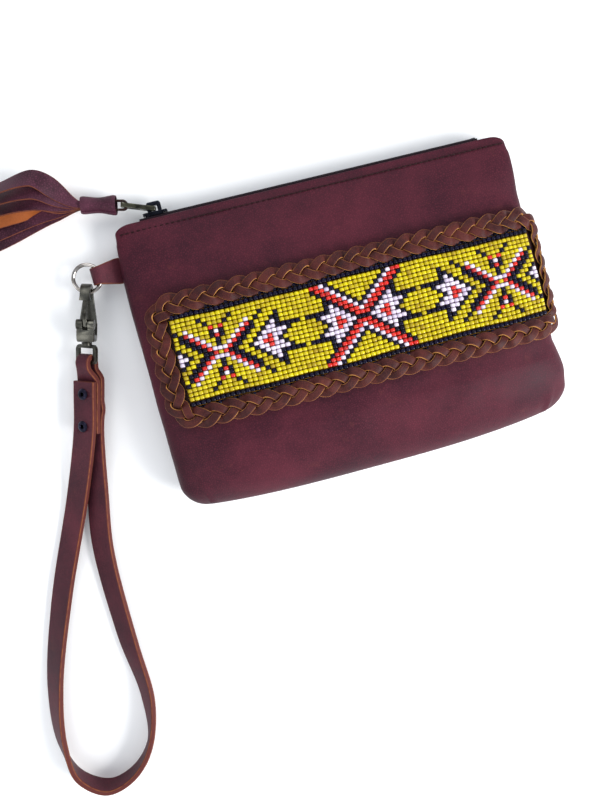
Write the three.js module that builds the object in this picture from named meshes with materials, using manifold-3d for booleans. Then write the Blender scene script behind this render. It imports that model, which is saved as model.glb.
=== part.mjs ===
// Leather wrist clutch: a beaded band in a braided frame, a fringed zip and a clip-on wrist strap.
// Sizes are in millimetres. The clutch lies on its back, +X along the zip, +Y towards the zip, +Z up.
// The origin is on the flat of the back, below the middle of the pouch.

import * as THREE from "three";
import { mergeVertices } from "three/addons/utils/BufferGeometryUtils.js";
import Module from "manifold-3d";

const wasm = await Module();
wasm.setup();

// Clearance between pieces that touch
const GAP = 0.3;

// Bead band
const BAND_X = 6;
const BAND_Y = 3.5;
const BEAD_PITCH = 2.3;
const BEAD_ROW = 1.95;
const COLUMNS = 75;
const ROWS = 19;
const EDGE_ROWS = 2;
const BEAD_HEIGHT = 1.9;
const BACKING = 1.2;

// Braided frame
const LACES = 3;
const LACE_WIDTH = 3.4;
const LACE_THICK = 0.8;
const BRAID_WIDTH = 10;
const BRAID_LIFT = 1.3;
const BRAID_PERIOD = 25;
const BRAID_CORNER = 9;
const BRAID_MARGIN = 1.3;
const LACE_PHASES = [15, 75, 105, 165, 195, 255, 285, 345];

// Zip
const TAPE = 0.6;
const TAPE_DEPTH = 10;
const TOOTH_PITCH = 3.8;
const TOOTH_WIDTH = 0.9;
const TOOTH_THICK = 2;
const TOOTH_REACH = 0.7;
const SPINE_IN = 1.6;
const SPINE_OUT = 2.6;
const STOP_LENGTH = 2;
const ZIP_INSET = 15;
const ZIP_RISE = 1.5;

// Slider and pull
const SLIDER_LENGTH = 11.5;
const SLIDER_INSET = 2;
const SLIDER_PLATE = 0.9;
const SLIDER_ROUND = 1.6;
const SLIDER_POST = 2.4;
const POST_INSET = 1;
const POST_HALF = 0.8;
const SLIDER_LIP = 0.8;
const LIP_INSET = 2;
const ARCH_BAR = 1.8;
const ARCH_WIDTH = 2;
const ARCH_INSET = 2.4;
const ARCH_ROUND = 1.2;
const PULL_ANGLE = 160;
const PULL_LENGTH = 14.5;
const PULL_WIDTH = 5.6;
const PULL_THICK = 2;
const PULL_BAR = 1.4;
const PULL_WINDOW = 5;
const PULL_WEB = 1.6;
const PULL_ROUND = 0.6;
const HOLE_ROUND = 0.3;

// Pouch leather, its width set by the band and its mouth by the zip
const SIDE_MARGIN = 5.95;
const RIM_Y = 70;
const BOTTOM_Y = -71;
const LEATHER = 1.8;
const BELLY_DEPTH = 34;
const BELLY_Y = -38;
const NOSE_HEIGHT = 13;
const FRONT_ROLL = 34;
const BACK_ROLL = 20;
const CORNER = 19;
const SEAM_SHARE = 0.3;
const SIDE_POWER = 4;
const BACK_POWER = 6;
const MOUTH_POWER = 14;
const MOUTH_TAPER = 2;
const FLARE_Y = 34;
const POUCH_SIDES = 14;
const POUCH_STATIONS = 13;

// Fringe
const FRINGE_ANGLE = 167;
const THONG_THICK = 1;
const THONG_WIDTH = 2.6;
const CAP_FROM = 3;
const CAP_LENGTH = 16;
const CAP_WALL = 0.7;
const CAP_PINCH = 1;
const STRIPS = 6;
const STRIP_WIDTH = 5.8;
const STRIP_ROOT = 2.6;
const STRIP_THICK = 0.6;
const STRIP_LENGTH = 84;
const STRIP_SPREAD = 4.3;
const STRIP_SWEEP = 11;
const STRIP_ARCH = 1;
const STRIP_BOW = 3.2;
const STRIP_BOW_SHARES = [0.14, 0.66];
const STRIP_FAN_SHARES = [0.12, 0.42];
const STRIP_SINK_SHARES = [0.3, 0.9];
const STRIP_CELLS = 12;

// Side tab and ring
const TAB_DROP = 18.5;
const TAB_LENGTH = 10;
const TAB_SHOULDER = 5;
const TAB_WIDTH = 12;
const TAB_TIP_WIDTH = 7.6;
const TAB_THICK = 1.5;
const RING_RADIUS = 6.4;
const RING_WIRE = 0.9;
const RING_DROP = 1.1;

// Snap hook and swivel eye
const HOOK_ANGLE = 73.8;
const HOOK_THICK = 4.4;
const HOOK_BASE_HALF = 4.4;
const HOOK_FOOT_HALF = 3.3;
const HOOK_SHOULDER = 2;
const HOOK_SOFT = 0.5;
const CROWN_AT = 21.5;
const CROWN_OUT = 5.6;
const CROWN_IN = 3.4;
const FLOOR = 3.4;
const POST_RADIUS = 1.3;
const HEAD_RADIUS = 2.1;
const HEAD_THICK = 1.3;
const GATE_AT = 8.2;
const GATE_OFF = 3.4;
const GATE_TIP = 19;
const GATE_THICK = 1.8;
const GATE_KNUCKLE = 1.7;
const THUMB_RISE = 1;
const THUMB_LENGTH = 2.6;
const PIN_RADIUS = 0.6;
const EAR_RADIUS = 2.4;
const EAR_HALF = 4.1;
const COLLAR = 1;
const EYE_BAR = 1.7;
const EYE_DEPTH = 9.4;
const EYE_ROUND = 2.4;

// Wrist strap
const STRAP_WIDTH = 12;
const STRAP_NECK = 7.2;
const STRAP_THICK = 2.6;
const STRAP_LEAN = 60;
const STRAP_END = 6;
const STRAP_TAIL = 3.5;
const PLY_BULGE = 0.8;
const ARM_PARTS = 1.5;
const ARM_JOINS = 5.5;
const LOOP_LENGTH = 216;
const LOOP_REACH = 65;
const RIVETS_AT = [15, 30.5];
const RIVET_HEAD = 2.7;
const RIVET_BRIM = 0.7;
const RIVET_SHANK = 1.5;
const RIVET_HOLE = 0.9;

// Sizes that follow from those above
const BAND_HALF_U = (COLUMNS * BEAD_PITCH) / 2;
const GROUND_HALF_V = (ROWS * BEAD_ROW) / 2;
const EDGE_WIDTH = EDGE_ROWS * BEAD_ROW;
const BAND_HALF_V = GROUND_HALF_V + GAP + EDGE_WIDTH;
const FRAME_U = BAND_HALF_U + BRAID_MARGIN + BRAID_WIDTH / 2;
const FRAME_V = BAND_HALF_V + BRAID_MARGIN + BRAID_WIDTH / 2;
const POUCH_HALF = FRAME_U + BRAID_WIDTH / 2 + SIDE_MARGIN - BAND_X;
const SLIDER_CHANNEL = TOOTH_THICK + 2 * GAP;
const SLIDER_HALF = SPINE_OUT + 2 * GAP + SLIDER_LIP;
const TAPE_OUT = SLIDER_HALF + GAP + TAPE;
const MOUTH_DEPTH = 2 * (TAPE_OUT + GAP + LEATHER);
const ZIP_Y = RIM_Y + ZIP_RISE;
const ZIP_Z = MOUTH_DEPTH / 2;
const ZIP_HALF = POUCH_HALF - ZIP_INSET;
const PULL_SWING = Math.hypot(PULL_BAR, PULL_THICK);
const ARCH_WINDOW = PULL_SWING + 2 * GAP;
const STRIP_STEP = STRIP_THICK + GAP;
const STACK_HALF = ((STRIPS - 1) * STRIP_STEP + STRIP_THICK) / 2;
const CAP_BORE = Math.hypot(STACK_HALF, STRIP_ROOT / 2) + GAP;
const TAB_Y = RIM_Y - TAB_DROP;
const STRAP_LAYER = STRAP_THICK + 1.5 * GAP;
const TAIL_OFF = STRAP_LAYER / 2;
const INNER_OFF = TAIL_OFF + STRAP_LAYER;
const OUTER_OFF = TAIL_OFF - STRAP_LAYER;

const { clamp, lerp, inverseLerp, degToRad, smoothstep } = THREE.MathUtils;
const LEAN = degToRad(STRAP_LEAN);
const STRAP_UNDER = INNER_OFF + PLY_BULGE + STRAP_THICK / 2;
const HOOK_Z = 2 * GAP + (STRAP_WIDTH / 2) * Math.cos(LEAN) + STRAP_UNDER * Math.sin(LEAN);
const RING_Z = HOOK_Z - RING_DROP;

const root = new THREE.Group();
root.name = "beaded_clutch";

const COLOURS = {
  leather_maroon: 0x54303a,
  leather_lace: 0x6a4030,
  leather_fringe: 0x5a3436,
  bead_yellow: 0xd8c81e,
  bead_navy: 0x14182e,
  bead_red: 0xc8321e,
  bead_white: 0xd2cede,
  zip_tape: 0x1c1a22,
  zip_teeth: 0x2a2a2e,
  slider_black: 0x222226,
  pull_brass: 0x8a7a3e,
  ring_silver: 0xc4c6c8,
  hook_metal: 0x7c7a72,
  rivet_dark: 0x302c2c,
};
const METALS = ["zip_teeth", "slider_black", "pull_brass", "ring_silver", "hook_metal", "rivet_dark"];
const materials = {};
for (const [name, color] of Object.entries(COLOURS)) {
  const metalness = METALS.includes(name) ? 1 : 0;
  materials[name] = new THREE.MeshStandardMaterial({ name, color, metalness, roughness: 0.5 });
}

function add(name, slot, geometry) {
  const mesh = new THREE.Mesh(geometry, materials[slot]);
  mesh.name = name;
  root.add(mesh);
}

// A closed body from points and triangles, turned to face out
function shell(points, faces) {
  const apex = new THREE.Vector3();
  let volume = 0;
  for (const [a, b, c] of faces) {
    apex.crossVectors(points[b], points[c]);
    volume += points[a].dot(apex);
  }
  const index = faces.flatMap(([a, b, c]) => (volume < 0 ? [a, c, b] : [a, b, c]));
  const geometry = new THREE.BufferGeometry();
  const values = points.flatMap((p) => [p.x, p.y, p.z]);
  geometry.setAttribute("position", new THREE.Float32BufferAttribute(values, 3));
  geometry.setIndex(index);
  return mergeVertices(geometry, 1e-4);
}

// Rings of points joined in turn. Ends are capped or looped back;
// a ribbed end pairs a ring's outward points with those on its way back.
function sweep(rings, ends = "capped") {
  const n = rings[0].length;
  const faces = [];
  const joins = ends === "looped" ? rings.length : rings.length - 1;
  for (let i = 0; i < joins; i++) {
    const near = i * n;
    const far = ((i + 1) % rings.length) * n;
    for (let j = 0; j < n; j++) {
      const k = (j + 1) % n;
      faces.push([near + j, near + k, far + k], [near + j, far + k, far + j]);
    }
  }
  const last = (rings.length - 1) * n;
  if (ends === "capped") {
    for (let j = 1; j < n - 1; j++) {
      faces.push([0, j + 1, j], [last, last + j, last + j + 1]);
    }
  }
  if (ends === "ribbed") {
    for (let j = 0; j < n / 2 - 1; j++) {
      const [a, b, c, d] = [j, j + 1, n - 2 - j, n - 1 - j];
      faces.push([a, c, b], [a, d, c], [last + a, last + b, last + c], [last + a, last + c, last + d]);
    }
  }
  return shell(rings.flat(), faces);
}

// A flat band's four corners about a centre, from its width and thickness directions
const BAND_CORNERS = [[1, 1], [-1, 1], [-1, -1], [1, -1]];

function bandRing(centre, across, through, width, thick) {
  return BAND_CORNERS.map(([w, t]) =>
    centre.clone().addScaledVector(across, (w * width) / 2).addScaledVector(through, (t * thick) / 2)
  );
}

function solid(geometry) {
  const plain = new THREE.BufferGeometry();
  plain.setAttribute("position", geometry.getAttribute("position"));
  plain.setIndex(geometry.getIndex());
  const merged = mergeVertices(plain, 1e-4);
  const mesh = new wasm.Mesh({
    numProp: 3,
    vertProperties: new Float32Array(merged.getAttribute("position").array),
    triVerts: new Uint32Array(merged.getIndex().array),
  });
  return new wasm.Manifold(mesh);
}

function geometryOf(body) {
  const mesh = body.getMesh();
  const geometry = new THREE.BufferGeometry();
  geometry.setAttribute("position", new THREE.Float32BufferAttribute(mesh.vertProperties, 3));
  geometry.setIndex(Array.from(mesh.triVerts));
  return geometry;
}

function box(x0, x1, y0, y1, z0, z1) {
  const geometry = new THREE.BoxGeometry(x1 - x0, y1 - y0, z1 - z0);
  return geometry.translate((x0 + x1) / 2, (y0 + y1) / 2, (z0 + z1) / 2);
}

function outline(points) {
  return new THREE.Shape(points.map(([x, y]) => new THREE.Vector2(x, y)));
}

function roundedRect(x0, x1, y0, y1, r, Kind = THREE.Shape) {
  const shape = new Kind();
  shape.absarc(x1 - r, y1 - r, r, 0, Math.PI / 2);
  shape.absarc(x0 + r, y1 - r, r, Math.PI / 2, Math.PI);
  shape.absarc(x0 + r, y0 + r, r, Math.PI, 1.5 * Math.PI);
  shape.absarc(x1 - r, y0 + r, r, 1.5 * Math.PI, 2 * Math.PI);
  return shape;
}

// An outline given bodily thickness about its own plane, with an optional softened edge
function slabOf(shape, thick, soft = 0, curveSegments = 4) {
  const geometry = new THREE.ExtrudeGeometry(shape, {
    depth: thick - 2 * soft,
    bevelEnabled: soft > 0,
    bevelThickness: soft,
    bevelSize: soft,
    bevelOffset: -soft,
    bevelSegments: 1,
    curveSegments,
  });
  return geometry.translate(0, 0, soft - thick / 2);
}

// Pouch: its section at a distance y along it, taken a depth below the outer face
function roll(distance, radius) {
  const inside = clamp(1 - distance / radius, 0, 1);
  return Math.sqrt(1 - inside * inside);
}

function section(y, depth) {
  const fromBottom = y - BOTTOM_Y - depth;
  const rise = clamp((RIM_Y - y) / (RIM_Y - BELLY_Y), 0, 1);
  const swell = 0.5 * rise + 0.5 * Math.sin((rise * Math.PI) / 2);
  const crown = lerp(MOUTH_DEPTH, BELLY_DEPTH, swell) - depth;
  const front = lerp(NOSE_HEIGHT, crown, roll(fromBottom, FRONT_ROLL - depth));
  const back = lerp(NOSE_HEIGHT, depth, roll(fromBottom, BACK_ROLL - depth));
  const flare = clamp((y - FLARE_Y) / (RIM_Y - FLARE_Y), 0, 1) ** 2;
  return {
    half: POUCH_HALF - depth - MOUTH_TAPER * flare - CORNER * (1 - roll(fromBottom, CORNER)),
    front,
    back,
    seam: lerp(back, front, SEAM_SHARE),
    frontPower: lerp(SIDE_POWER, MOUTH_POWER, flare),
    backPower: lerp(BACK_POWER, MOUTH_POWER, flare),
  };
}

function bulge(share, power) {
  return Math.max(0, 1 - Math.abs(share) ** power) ** (1 / power);
}

function frontOf(s, share) {
  return s.seam + (s.front - s.seam) * bulge(share, s.frontPower);
}

function backOf(s, share) {
  return s.seam - (s.seam - s.back) * bulge(share, s.backPower);
}

// A panel's row of points from side seam to side seam, held clear of the other panel
function panelRow(y, depth, faceOf, side) {
  const s = section(y, depth);
  const row = [];
  for (let k = 0; k <= POUCH_SIDES; k++) {
    const share = Math.cos((k * Math.PI) / POUCH_SIDES);
    const clear = Math.max(side * (faceOf(s, share) - s.seam), GAP / 2);
    row.push(new THREE.Vector3(s.half * share, y, s.seam + side * clear));
  }
  return row;
}

// Front and back panels meet along the side seams and the bottom fold
function panel(faceOf, side) {
  const rings = [];
  for (let k = 0; k <= POUCH_STATIONS; k++) {
    const share = (k / POUCH_STATIONS) ** 2;
    const outer = panelRow(lerp(BOTTOM_Y, RIM_Y, share), 0, faceOf, side);
    const inner = panelRow(lerp(BOTTOM_Y + LEATHER, RIM_Y, share), LEATHER, faceOf, side);
    rings.push([...outer, ...inner.reverse()]);
  }
  return sweep(rings, "ribbed");
}
add("leather_front", "leather_maroon", panel(frontOf, 1));
add("leather_back", "leather_maroon", panel(backOf, -1));

// Front face: a point by its length u along the section, its y and its height above the leather
const ARC_STEPS = 96;
const arcs = new Map();

function arcAt(y) {
  if (!arcs.has(y)) {
    const s = section(y, 0);
    const points = [];
    const lengths = [];
    for (let k = 0; k <= ARC_STEPS; k++) {
      const share = Math.sin((Math.PI / 2) * (k / ARC_STEPS));
      const point = [s.half * share, frontOf(s, share)];
      const before = points.at(-1) ?? point;
      lengths.push((lengths.at(-1) ?? 0) + Math.hypot(point[0] - before[0], point[1] - before[1]));
      points.push(point);
    }
    arcs.set(y, { points, lengths });
  }
  return arcs.get(y);
}

function onLeather(u, y) {
  const { points, lengths } = arcAt(y);
  const length = Math.min(Math.abs(u), lengths.at(-1));
  const k = Math.max(1, lengths.findIndex((reach) => reach >= length));
  const share = (length - lengths[k - 1]) / (lengths[k] - lengths[k - 1]);
  const x = lerp(points[k - 1][0], points[k][0], share) * Math.sign(u);
  return new THREE.Vector3(x, y, lerp(points[k - 1][1], points[k][1], share));
}

function onFront(u, y, height) {
  const along = onLeather(u + 1, y).sub(onLeather(u - 1, y));
  const up = onLeather(u, y + 1).sub(onLeather(u, y - 1));
  return onLeather(u, y).addScaledVector(along.cross(up).normalize(), height);
}

// A piece lying on the front, between two heights above the leather, its cells closer towards the sides
function frontSlab(u0, u1, y0, y1, cells, rows, low, high) {
  const rings = [];
  for (let k = 0; k <= cells; k++) {
    const u = lerp(u0, u1, (1 - Math.cos((k * Math.PI) / cells)) / 2);
    const ring = [];
    for (let r = 0; r <= rows; r++) {
      ring.push(onFront(u, lerp(y0, y1, r / rows), high));
    }
    for (let r = rows; r >= 0; r--) {
      ring.push(onFront(u, lerp(y0, y1, r / rows), low));
    }
    rings.push(ring);
  }
  return sweep(rings, "ribbed");
}

const BACKING_LOW = 1.5 * GAP;
const BACKING_TOP = BACKING_LOW + BACKING;
const BEAD_LOW = BACKING_TOP + 1.5 * GAP;
const BEAD_HIGH = BEAD_LOW + BEAD_HEIGHT;
const BAND_CELLS = 22;
const BAND_ROWS = 2;

const backing = frontSlab(
  BAND_X - FRAME_U - LACE_WIDTH / 4,
  BAND_X + FRAME_U + LACE_WIDTH / 4,
  BAND_Y - FRAME_V - LACE_WIDTH / 4,
  BAND_Y + FRAME_V + LACE_WIDTH / 4,
  BAND_CELLS,
  2 * BAND_ROWS,
  BACKING_LOW,
  BACKING_TOP
);
add("backing_patch", "leather_lace", backing);

// Bead rows
function beadSlab(y0, y1, rows, low) {
  const [u0, u1] = [BAND_X - BAND_HALF_U, BAND_X + BAND_HALF_U];
  return frontSlab(u0, u1, y0, y1, BAND_CELLS, rows, low, BEAD_HIGH);
}

for (const [name, y] of [
  ["bead_edge_lower", BAND_Y - BAND_HALF_V],
  ["bead_edge_upper", BAND_Y + BAND_HALF_V - EDGE_WIDTH],
]) {
  add(name, "bead_navy", beadSlab(y, y + EDGE_WIDTH, 1, BEAD_LOW));
}

// Colour fields, as outlines in columns and rows from the middle bead
const mirrored = (points) => [...points, ...points.slice(1, -1).reverse().map(([i, j]) => [i, -j])];
const fourWay = (points) => {
  const right = [...points, ...points.slice(0, -1).reverse().map(([i, j]) => [i, -j])];
  return [...right, ...right.slice(1, -1).reverse().map(([i, j]) => [-i, j])];
};
const crossArms = (grow) => fourWay([[0, 1.5 + grow], [8 - grow, 9.5], [10 + grow, 9.5], [0.5 + grow, 0]]);
const starArms = (grow) =>
  fourWay([[0, 0.5 + grow], [5 - grow, 5.5 + grow], [7 + grow, 5.5 + grow], [1.5 + grow, 0]]);
const diamond = (grow) =>
  mirrored([[1.5 - grow, 0], [3.5 - grow, 2.5 + grow], [6, 4.5 + grow], [8.6 + grow, 2.4], [6.7 + grow, 0]]);
const chevron = (grow) => {
  const arm = [[8.9 - grow, 7 + grow], [9.9 + grow, 7 + grow], [8 + grow, 4.5]];
  return mirrored([[1.95 - grow, 0], ...arm, [3.5 + grow, 0]]);
};
const STAR_INSET_COLUMNS = 8;
const STAR_COLUMN = (COLUMNS - 1) / 2 - STAR_INSET_COLUMNS;
const DIAMOND_TURN = 24;

const fields = [
  ["bead_cross", "bead_red", crossArms, (i) => i],
  ["bead_star_left", "bead_red", starArms, (i) => i - STAR_COLUMN],
  ["bead_star_right", "bead_red", starArms, (i) => i + STAR_COLUMN],
  ["bead_diamond_left_outer", "bead_white", diamond, (i) => i - DIAMOND_TURN],
  ["bead_diamond_left_inner", "bead_white", diamond, (i) => -i],
  ["bead_diamond_right_inner", "bead_white", diamond, (i) => i],
  ["bead_diamond_right_outer", "bead_white", diamond, (i) => DIAMOND_TURN - i],
  ["bead_chevron_left_outer", "bead_navy", chevron, (i) => -i - STAR_COLUMN],
  ["bead_chevron_left_inner", "bead_navy", chevron, (i) => i - STAR_COLUMN],
  ["bead_chevron_right_inner", "bead_navy", chevron, (i) => STAR_COLUMN - i],
  ["bead_chevron_right_outer", "bead_navy", chevron, (i) => STAR_COLUMN + i],
];

function fieldPrism(points, place) {
  const plan = points.map(([i, j]) => {
    const at = onLeather(BAND_X + place(i) * BEAD_PITCH, BAND_Y + j * BEAD_ROW);
    return new THREE.Vector2(at.x, at.y);
  });
  return new THREE.ExtrudeGeometry(new THREE.Shape(plan), { depth: 2 * BELLY_DEPTH, bevelEnabled: false });
}

const GROUND_Y = [BAND_Y - GROUND_HALF_V, BAND_Y + GROUND_HALF_V];
const FIELD_LOW = BEAD_LOW + 0.4 * BEAD_HEIGHT;
const FIELD_GROW = GAP / BEAD_PITCH;
const fieldLayer = solid(beadSlab(...GROUND_Y, BAND_ROWS, FIELD_LOW + GAP));
const pocketLayer = solid(
  frontSlab(
    BAND_X - BAND_HALF_U - BEAD_PITCH,
    BAND_X + BAND_HALF_U + BEAD_PITCH,
    GROUND_Y[0] - BEAD_ROW,
    GROUND_Y[1] + BEAD_ROW,
    BAND_CELLS,
    BAND_ROWS,
    FIELD_LOW,
    BEAD_HIGH + BEAD_HEIGHT
  )
);
let ground = solid(beadSlab(...GROUND_Y, BAND_ROWS, BEAD_LOW));
for (const [name, slot, arms, place] of fields) {
  const piece = fieldLayer.intersect(solid(fieldPrism(arms(0), place)));
  add(name, slot, geometryOf(piece));
  ground = ground.subtract(pocketLayer.intersect(solid(fieldPrism(arms(FIELD_GROW), place))));
}
add("bead_ground", "bead_yellow", geometryOf(ground));

// Braided frame: laces that weave along a rounded rectangle round the band
const STRAIGHT_U = 2 * (FRAME_U - BRAID_CORNER);
const STRAIGHT_V = 2 * (FRAME_V - BRAID_CORNER);
const TURN = (BRAID_CORNER * Math.PI) / 2;
const PERIMETER = 2 * (STRAIGHT_U + STRAIGHT_V) + 4 * TURN;

function framePoint(distance, off) {
  let s = ((distance % PERIMETER) + PERIMETER) % PERIMETER;
  const corners = [
    [1, 1, STRAIGHT_V],
    [-1, 1, STRAIGHT_U],
    [-1, -1, STRAIGHT_V],
    [1, -1, STRAIGHT_U],
  ];
  for (let k = 0; k < corners.length; k++) {
    const [a, b, straight] = corners[k];
    const centre = [a * (FRAME_U - BRAID_CORNER), b * (FRAME_V - BRAID_CORNER)];
    const angle = (k * Math.PI) / 2;
    const out = [Math.cos(angle), Math.sin(angle)];
    if (s < straight) {
      const back = straight - s;
      const reach = BRAID_CORNER + off;
      return [centre[0] + reach * out[0] + back * out[1], centre[1] + reach * out[1] - back * out[0]];
    }
    s -= straight;
    if (s < TURN) {
      const turned = angle + s / BRAID_CORNER;
      const reach = BRAID_CORNER + off;
      return [centre[0] + reach * Math.cos(turned), centre[1] + reach * Math.sin(turned)];
    }
    s -= TURN;
  }
  return framePoint(0, off);
}

const PERIODS = Math.round(PERIMETER / BRAID_PERIOD);
const SWAY = (BRAID_WIDTH - LACE_WIDTH) / 2;
const BRAID_MIDDLE = BEAD_LOW + BRAID_LIFT + (LACE_THICK + GAP) / 2;

// A lace goes over on its way in to the middle of the braid and under on its way out
function lacePoint(turns, lace) {
  const distance = ((turns - lace / LACES) / PERIODS) * PERIMETER;
  return framePoint(distance, SWAY * Math.sin(2 * Math.PI * turns));
}

function laceRing(turns, lace) {
  const [u, v] = lacePoint(turns, lace);
  const height = BRAID_MIDDLE - BRAID_LIFT * Math.sign(Math.sin(4 * Math.PI * turns));
  const before = lacePoint(turns - 0.01, lace);
  const after = lacePoint(turns + 0.01, lace);
  const length = Math.hypot(after[0] - before[0], after[1] - before[1]);
  const across = [(before[1] - after[1]) / length, (after[0] - before[0]) / length];
  return BAND_CORNERS.map(([w, t]) => {
    const side = (w * LACE_WIDTH) / 2;
    const level = height + (t * LACE_THICK) / 2;
    return onFront(BAND_X + u + side * across[0], BAND_Y + v + side * across[1], level);
  });
}

for (let lace = 0; lace < LACES; lace++) {
  const rings = [];
  for (let k = 0; k < PERIODS; k++) {
    rings.push(...LACE_PHASES.map((phase) => laceRing(k + phase / 360, lace)));
  }
  add(`braid_lace_${lace + 1}`, "leather_lace", sweep(rings, "looped"));
}

// Zip: side 1 is the front of the mouth, side -1 the back
const NOSE = -ZIP_HALF + SLIDER_INSET;
const TAIL = NOSE + SLIDER_LENGTH;
const SLIDER_X = (NOSE + TAIL) / 2;
const POST_FROM = NOSE + POST_INSET;
const COMB_START = POST_FROM + SLIDER_POST + 2 * GAP;
const COMB_END = ZIP_HALF - STOP_LENGTH - GAP;
const TEETH = Math.floor((COMB_END - COMB_START) / TOOTH_PITCH) - 1;

function comb(side) {
  const shift = side > 0 ? 0 : TOOTH_PITCH / 2;
  const points = [[COMB_END, SPINE_OUT], [COMB_START, SPINE_OUT], [COMB_START, SPINE_IN]];
  for (let k = 0; k < TEETH; k++) {
    const x = COMB_START + TOOTH_WIDTH + shift + k * TOOTH_PITCH;
    points.push([x, SPINE_IN], [x, -TOOTH_REACH]);
    points.push([x + TOOTH_WIDTH, -TOOTH_REACH], [x + TOOTH_WIDTH, SPINE_IN]);
  }
  points.push([COMB_END, SPINE_IN]);
  const shape = outline(points.map(([x, z]) => [x, side * z]));
  return slabOf(shape, TOOTH_THICK).rotateX(Math.PI / 2).translate(0, ZIP_Y, ZIP_Z);
}

function tape(side) {
  const near = SPINE_OUT + GAP;
  const far = TAPE_OUT;
  const [y0, y1] = [ZIP_Y - TAPE / 2, ZIP_Y + TAPE / 2];
  const foot = ZIP_Y - TAPE_DEPTH;
  const profile = [[y1, near], [y1, far], [foot, far], [foot, far - TAPE], [y0, far - TAPE], [y0, near]];
  const shape = outline(profile.map(([y, z]) => [y, ZIP_Z + side * z]));
  const along = new THREE.Matrix4().makeBasis(
    new THREE.Vector3(0, 1, 0),
    new THREE.Vector3(0, 0, 1),
    new THREE.Vector3(1, 0, 0)
  );
  return slabOf(shape, 2 * ZIP_HALF).applyMatrix4(along);
}

const STOP_HALF = TOOTH_THICK / 2;
const TOP_STOP_END = COMB_START - GAP;
for (const [name, side] of [["front", 1], ["back", -1]]) {
  add(`zip_tape_${name}`, "zip_tape", tape(side));
  add(`zip_teeth_${name}`, "zip_teeth", comb(side));
  const reach = [SPINE_IN - GAP, SPINE_OUT].map((z) => ZIP_Z + side * z).sort((a, b) => a - b);
  const stop = box(TOP_STOP_END - STOP_LENGTH, TOP_STOP_END, ZIP_Y - STOP_HALF, ZIP_Y + STOP_HALF, ...reach);
  add(`zip_top_stop_${name}`, "zip_teeth", stop);
}
const endStop = box(
  COMB_END + GAP,
  ZIP_HALF,
  ZIP_Y - STOP_HALF,
  ZIP_Y + STOP_HALF,
  ZIP_Z - SPINE_OUT,
  ZIP_Z + SPINE_OUT
);
add("zip_end_stop", "zip_teeth", endStop);

// Slider: two plates on a post at its nose, lips along their edges, an arch for the pull
const CHANNEL = SLIDER_CHANNEL / 2;
const ARCH_FOOT = ZIP_Y + CHANNEL + SLIDER_PLATE;
const ARCH_HALF = SLIDER_LENGTH / 2 - ARCH_INSET;

function slider() {
  const plate = slabOf(roundedRect(NOSE, TAIL, -SLIDER_HALF, SLIDER_HALF, SLIDER_ROUND), SLIDER_PLATE, 0, 2);
  plate.rotateX(Math.PI / 2).translate(0, 0, ZIP_Z);
  const level = CHANNEL + SLIDER_PLATE / 2;
  let body = solid(plate.clone().translate(0, ZIP_Y + level, 0));
  body = body.add(solid(plate.translate(0, ZIP_Y - level, 0)));
  const hold = SLIDER_PLATE / 2;
  const post = box(
    POST_FROM,
    POST_FROM + SLIDER_POST,
    ZIP_Y - CHANNEL - hold,
    ZIP_Y + CHANNEL + hold,
    ZIP_Z - POST_HALF,
    ZIP_Z + POST_HALF
  );
  body = body.add(solid(post));
  for (const side of [-1, 1]) {
    const lip = [SLIDER_HALF - SLIDER_LIP, SLIDER_HALF].map((z) => ZIP_Z + side * z).sort((a, b) => a - b);
    const ends = [NOSE + LIP_INSET, TAIL - LIP_INSET];
    const upper = box(...ends, ZIP_Y + TAPE / 2 + GAP, ZIP_Y + CHANNEL + hold, ...lip);
    const lower = box(...ends, ZIP_Y - CHANNEL - hold, ZIP_Y - TAPE / 2 - GAP, ...lip);
    body = body.add(solid(upper)).add(solid(lower));
  }
  const top = ARCH_WINDOW + ARCH_BAR;
  const archEnds = [SLIDER_X - ARCH_HALF, SLIDER_X + ARCH_HALF];
  const arch = roundedRect(...archEnds, ARCH_FOOT - hold, ARCH_FOOT + top, ARCH_ROUND);
  const inner = ARCH_HALF - ARCH_BAR;
  const windowEnds = [SLIDER_X - inner, SLIDER_X + inner];
  arch.holes.push(roundedRect(...windowEnds, ARCH_FOOT, ARCH_FOOT + ARCH_WINDOW, HOLE_ROUND, THREE.Path));
  return body.add(solid(slabOf(arch, ARCH_WIDTH, 0, 3).translate(0, 0, ZIP_Z)));
}
add("zip_slider", "slider_black", geometryOf(slider()));

// Pull: a plate with a window for the arch and an eye for the thong, turned about its bar
const PULL_X = SLIDER_X - ARCH_HALF + ARCH_BAR + ARCH_WINDOW / 2;
const PULL_Y = ARCH_FOOT + ARCH_WINDOW / 2;
const PULL_TURN = degToRad(PULL_ANGLE);

function pull() {
  const half = PULL_WIDTH / 2;
  const shape = roundedRect(-PULL_BAR / 2, PULL_LENGTH + PULL_BAR / 2, -half, half, PULL_ROUND);
  const window = ARCH_WIDTH / 2 + GAP;
  shape.holes.push(roundedRect(PULL_BAR / 2, PULL_WINDOW, -window, window, HOLE_ROUND, THREE.Path));
  const eye = THONG_WIDTH / 2 + GAP;
  const end = PULL_LENGTH - PULL_BAR / 2;
  shape.holes.push(roundedRect(PULL_WINDOW + PULL_WEB, end, -eye, eye, HOLE_ROUND, THREE.Path));
  return slabOf(shape, PULL_THICK, 0, 2).rotateX(Math.PI / 2).rotateZ(PULL_TURN);
}
add("zip_pull", "pull_brass", pull().translate(PULL_X, PULL_Y, ZIP_Z));

// Fringe: built along +X from the pull's end bar, then turned and moved to it
const FRINGE_X = PULL_X + PULL_LENGTH * Math.cos(PULL_TURN);
const FRINGE_Y = PULL_Y + PULL_LENGTH * Math.sin(PULL_TURN);
const STRIP_FROM = CAP_FROM + CAP_LENGTH / 3;
const UP = new THREE.Vector3(0, 0, 1);
const BEND_STEPS = 8;

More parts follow.
